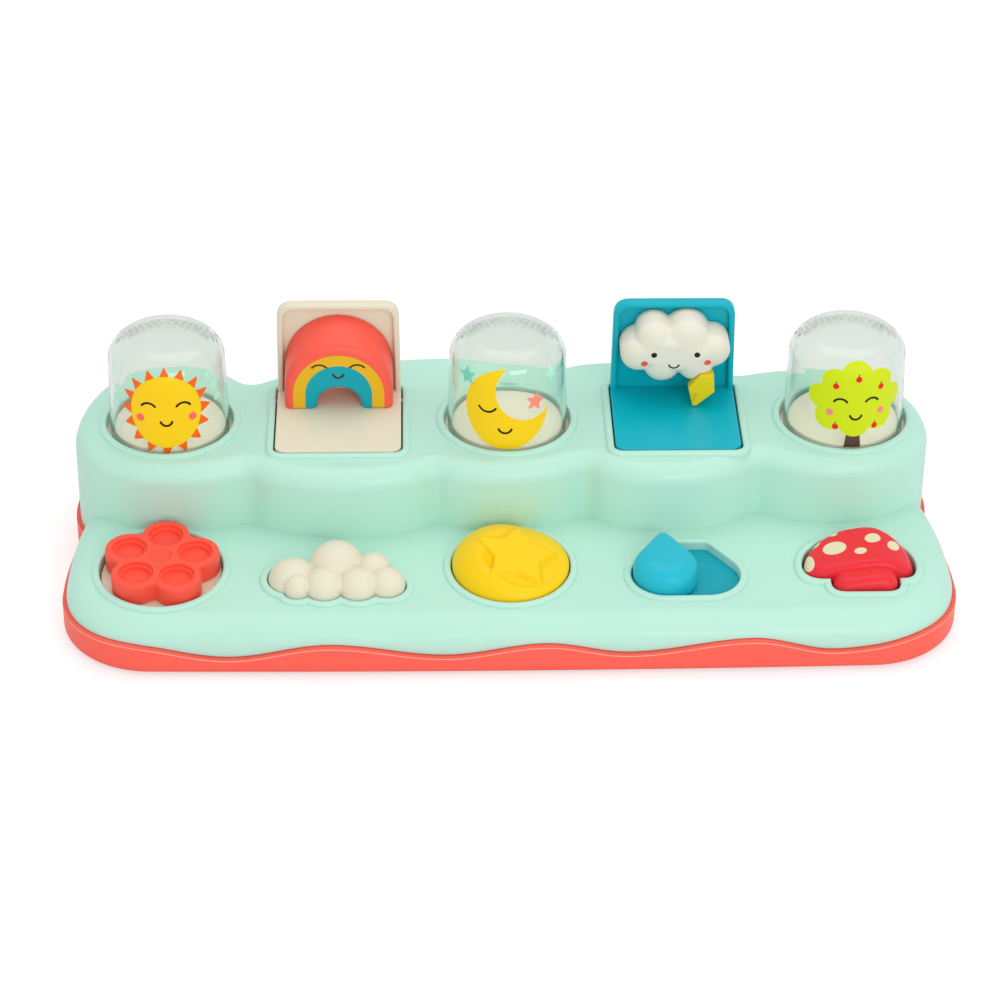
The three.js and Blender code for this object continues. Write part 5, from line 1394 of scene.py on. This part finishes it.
def make_mushroom():
    outline = arc(0, -2, 22.6, 0, math.pi, 60, squash=19 / 22.6)[:-1]
    outline += curve((-22.6, -2), (-22.6, CAP_SHARPENED), (-15, CAP_FRONT), steps=14)
    outline += curve((-15, CAP_FRONT), (15, CAP_FRONT), steps=12)
    outline += curve((15, CAP_FRONT), (22.6, CAP_SHARPENED), (22.6, -2), steps=14)
    middle = Vector((STALK_LEFT + STALK_RIGHT, STALK_FRONT + STALK_REAR)) / 2
    stalk = [point + middle for point in rounded_box(STALK_RIGHT - STALK_LEFT, STALK_REAR - STALK_FRONT, 5)]
    return gathered([roofed(outline, 3.4, 0), roofed(stalk, 4, 2.4)])


mushroom = on_deck(make_mushroom(), MUSHROOM_X)
dress("mushroom_rocker", mushroom, "mushroom_switch", red, "red_mushroom", crease=60)


# Springs, each on a mesh of its own
def wire_spring(wire, radius, turns, length):
    """A coil of round wire that climbs from z = 0, with closed ends."""
    mesh = bmesh.new()
    bmesh.ops.create_circle(mesh, cap_ends=True, segments=10, radius=wire / 2)
    placed(mesh, Matrix.Translation((radius, 0, wire / 2)) @ STANDING)
    steps = turns * 28
    geometry = [*mesh.verts, *mesh.edges, *mesh.faces]
    bmesh.ops.spin(
        mesh, geom=geometry, cent=(0, 0, 0), axis=(0, 0, 1), dvec=(0, 0, (length - wire) / steps),
        angle=math.tau * turns, steps=steps,
    )
    bmesh.ops.recalc_face_normals(mesh, faces=mesh.faces)
    return mesh


def add_spring(node, mesh):
    made = dress(node, mesh, "housing", steel, crease=50, weighted=False)
    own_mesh(made)


SPRING_FOOT = 3.87
POP_SPRING_LENGTH = 51.9
BUTTON_SPRING_LENGTH = 17.85
BUTTON_SPRING_LEAN = 0.15
LATCH_SPRING_LENGTH = 9.5
LATCH_SPRING_PLACE = (-93.84, 6.35)
BACK_STATIONS = ("sun", "rainbow", "moon", "storm", "tree")

for name, x in DOMES.items():
    coil = shifted(wire_spring(1.4, 9.5, 7, POP_SPRING_LENGTH), x, 0, SPRING_FOOT)
    add_spring(f"{name}_spring", coil)
for index, name in enumerate(BACK_STATIONS):
    coil = placed(wire_spring(0.7, 2.1, 4, LATCH_SPRING_LENGTH), Matrix.Rotation(-math.pi / 2, 4, "X"))
    coil = shifted(coil, BACK_PITCH * (index - 2), *LATCH_SPRING_PLACE)
    add_spring(f"{name}_latch_spring", coil)
spring_y = -ROW_SPACING + BUTTON_SPRING_OFFSET.y + BUTTON_SPRING_LEAN
coil = wire_spring(1, 5, 4, BUTTON_SPRING_LENGTH)
coil = shifted(coil, BUTTON_X + BUTTON_SPRING_OFFSET.x, spring_y, SPRING_FOOT)
add_spring("button_spring", coil)


# Finishes of the solids that stay
KEPT = {
    steel: ["rainbow_hinge_pin", "storm_hinge_pin", "rainbow_torsion_spring", "storm_torsion_spring",
            "rocker_pin", *[f"screw_{index}" for index in range(1, 7)]],
    rubber: [f"foot_{index}" for index in range(1, 5)],
    inner: [f"{name}_latch_bar" for name in BACK_STATIONS],
    deep_teal: ["slider_plate"],
}
for finish, names in KEPT.items():
    for node in names:
        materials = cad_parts[node].data.materials
        materials.clear()
        materials.append(finish)


# Floor
FLOOR_REACH = 6
FLOOR_SEEN = 0.54
FLOOR_LIT = 0.86
FLOOR_LIFT = 0.56
WHITE = (1, 1, 1, 1)


def emptied(owner):
    """The owner's node tree, with nothing in it yet."""
    owner.use_nodes = True
    owner.node_tree.nodes.clear()
    return owner.node_tree


def make_floor():
    mesh = bmesh.new()
    bmesh.ops.create_grid(mesh, x_segments=1, y_segments=1, size=FLOOR_REACH)
    floor = in_scene("floor", as_data("floor", mesh))
    material = bpy.data.materials.new("paper_floor")
    tree = emptied(material)
    seen = tree.nodes.new("ShaderNodeLightPath").outputs["Is Camera Ray"]
    shade = {0: seen, 6: (FLOOR_LIT, FLOOR_LIT, FLOOR_LIT, 1), 7: (FLOOR_SEEN, FLOOR_SEEN, FLOOR_SEEN, 1)}
    shade = wired(tree, "ShaderNodeMix", shade, data_type="RGBA").outputs[2]
    paper = wired(tree, "ShaderNodeBsdfDiffuse", {"Color": shade}).outputs[0]
    boost = maths(tree, "MULTIPLY", seen, FLOOR_LIFT)
    lift = wired(tree, "ShaderNodeEmission", {"Color": WHITE, "Strength": boost}).outputs[0]
    both = wired(tree, "ShaderNodeAddShader", {0: paper, 1: lift}).outputs[0]
    wired(tree, "ShaderNodeOutputMaterial", {"Surface": both})
    floor.data.materials.append(material)


make_floor()

# Light
SKY_ON_MATT = 0.8
SKY_ON_GLOSS = 0.55


def make_world():
    world = bpy.data.worlds.new("studio")
    bpy.context.scene.world = world
    tree = emptied(world)
    path = tree.nodes.new("ShaderNodeLightPath").outputs
    direct = maths(tree, "MAXIMUM", path["Is Camera Ray"], path["Is Transmission Ray"])
    mirrored = ramp(tree, path["Is Glossy Ray"], 0.0, 1.0, SKY_ON_MATT, SKY_ON_GLOSS)
    strength = ramp(tree, direct, 0.0, 1.0, mirrored, 1.0)
    sky = wired(tree, "ShaderNodeBackground", {"Color": WHITE, "Strength": strength}).outputs[0]
    wired(tree, "ShaderNodeOutputWorld", {"Surface": sky})


make_world()


def softbox(name, place, aim, size, power):
    lamp = bpy.data.lights.new(name, "AREA")
    lamp.shape = "RECTANGLE"
    lamp.size, lamp.size_y = size
    lamp.energy = power
    holder = in_scene(name, lamp)
    holder.location = place
    holder.rotation_euler = (Vector(aim) - Vector(place)).to_track_quat("-Z", "Y").to_euler()


softbox("top_softbox", (0.1, 0.3, 1.3), (0, 0, 0.03), (1.2, 0.9), 3.6)
softbox("front_softbox", (0.55, -1.5, 0.75), (0.05, 0, 0.04), (1.0, 0.6), 6.4)


# Camera, where the photograph was taken from
FOCAL_LENGTH = 120.15
CAMERA_PLACE = (-37.98, -1198.3, 809.33)
CAMERA_RISE = 0.584685
CAMERA_SWING = -0.029417
CAMERA_ROLL = 0.008325


def make_camera():
    lens = bpy.data.cameras.new("camera")
    lens.lens = FOCAL_LENGTH
    lens.sensor_width = 36
    lens.clip_start = 0.05
    holder = in_scene("camera", lens)
    towards = Vector((
        math.sin(CAMERA_SWING) * math.cos(CAMERA_RISE),
        -math.cos(CAMERA_SWING) * math.cos(CAMERA_RISE),
        math.sin(CAMERA_RISE),
    ))
    right = Vector((math.cos(CAMERA_SWING), math.sin(CAMERA_SWING), 0))
    up = towards.cross(right)
    rolled_right = right * math.cos(CAMERA_ROLL) + up * math.sin(CAMERA_ROLL)
    rolled_up = up * math.cos(CAMERA_ROLL) - right * math.sin(CAMERA_ROLL)
    turn = Matrix((rolled_right, rolled_up, towards)).transposed()
    holder.matrix_world = Matrix.Translation(at_frame(*CAMERA_PLACE)) @ turn.to_4x4()
    bpy.context.scene.camera = holder


make_camera()
bpy.context.scene.view_settings.view_transform = "Standard"
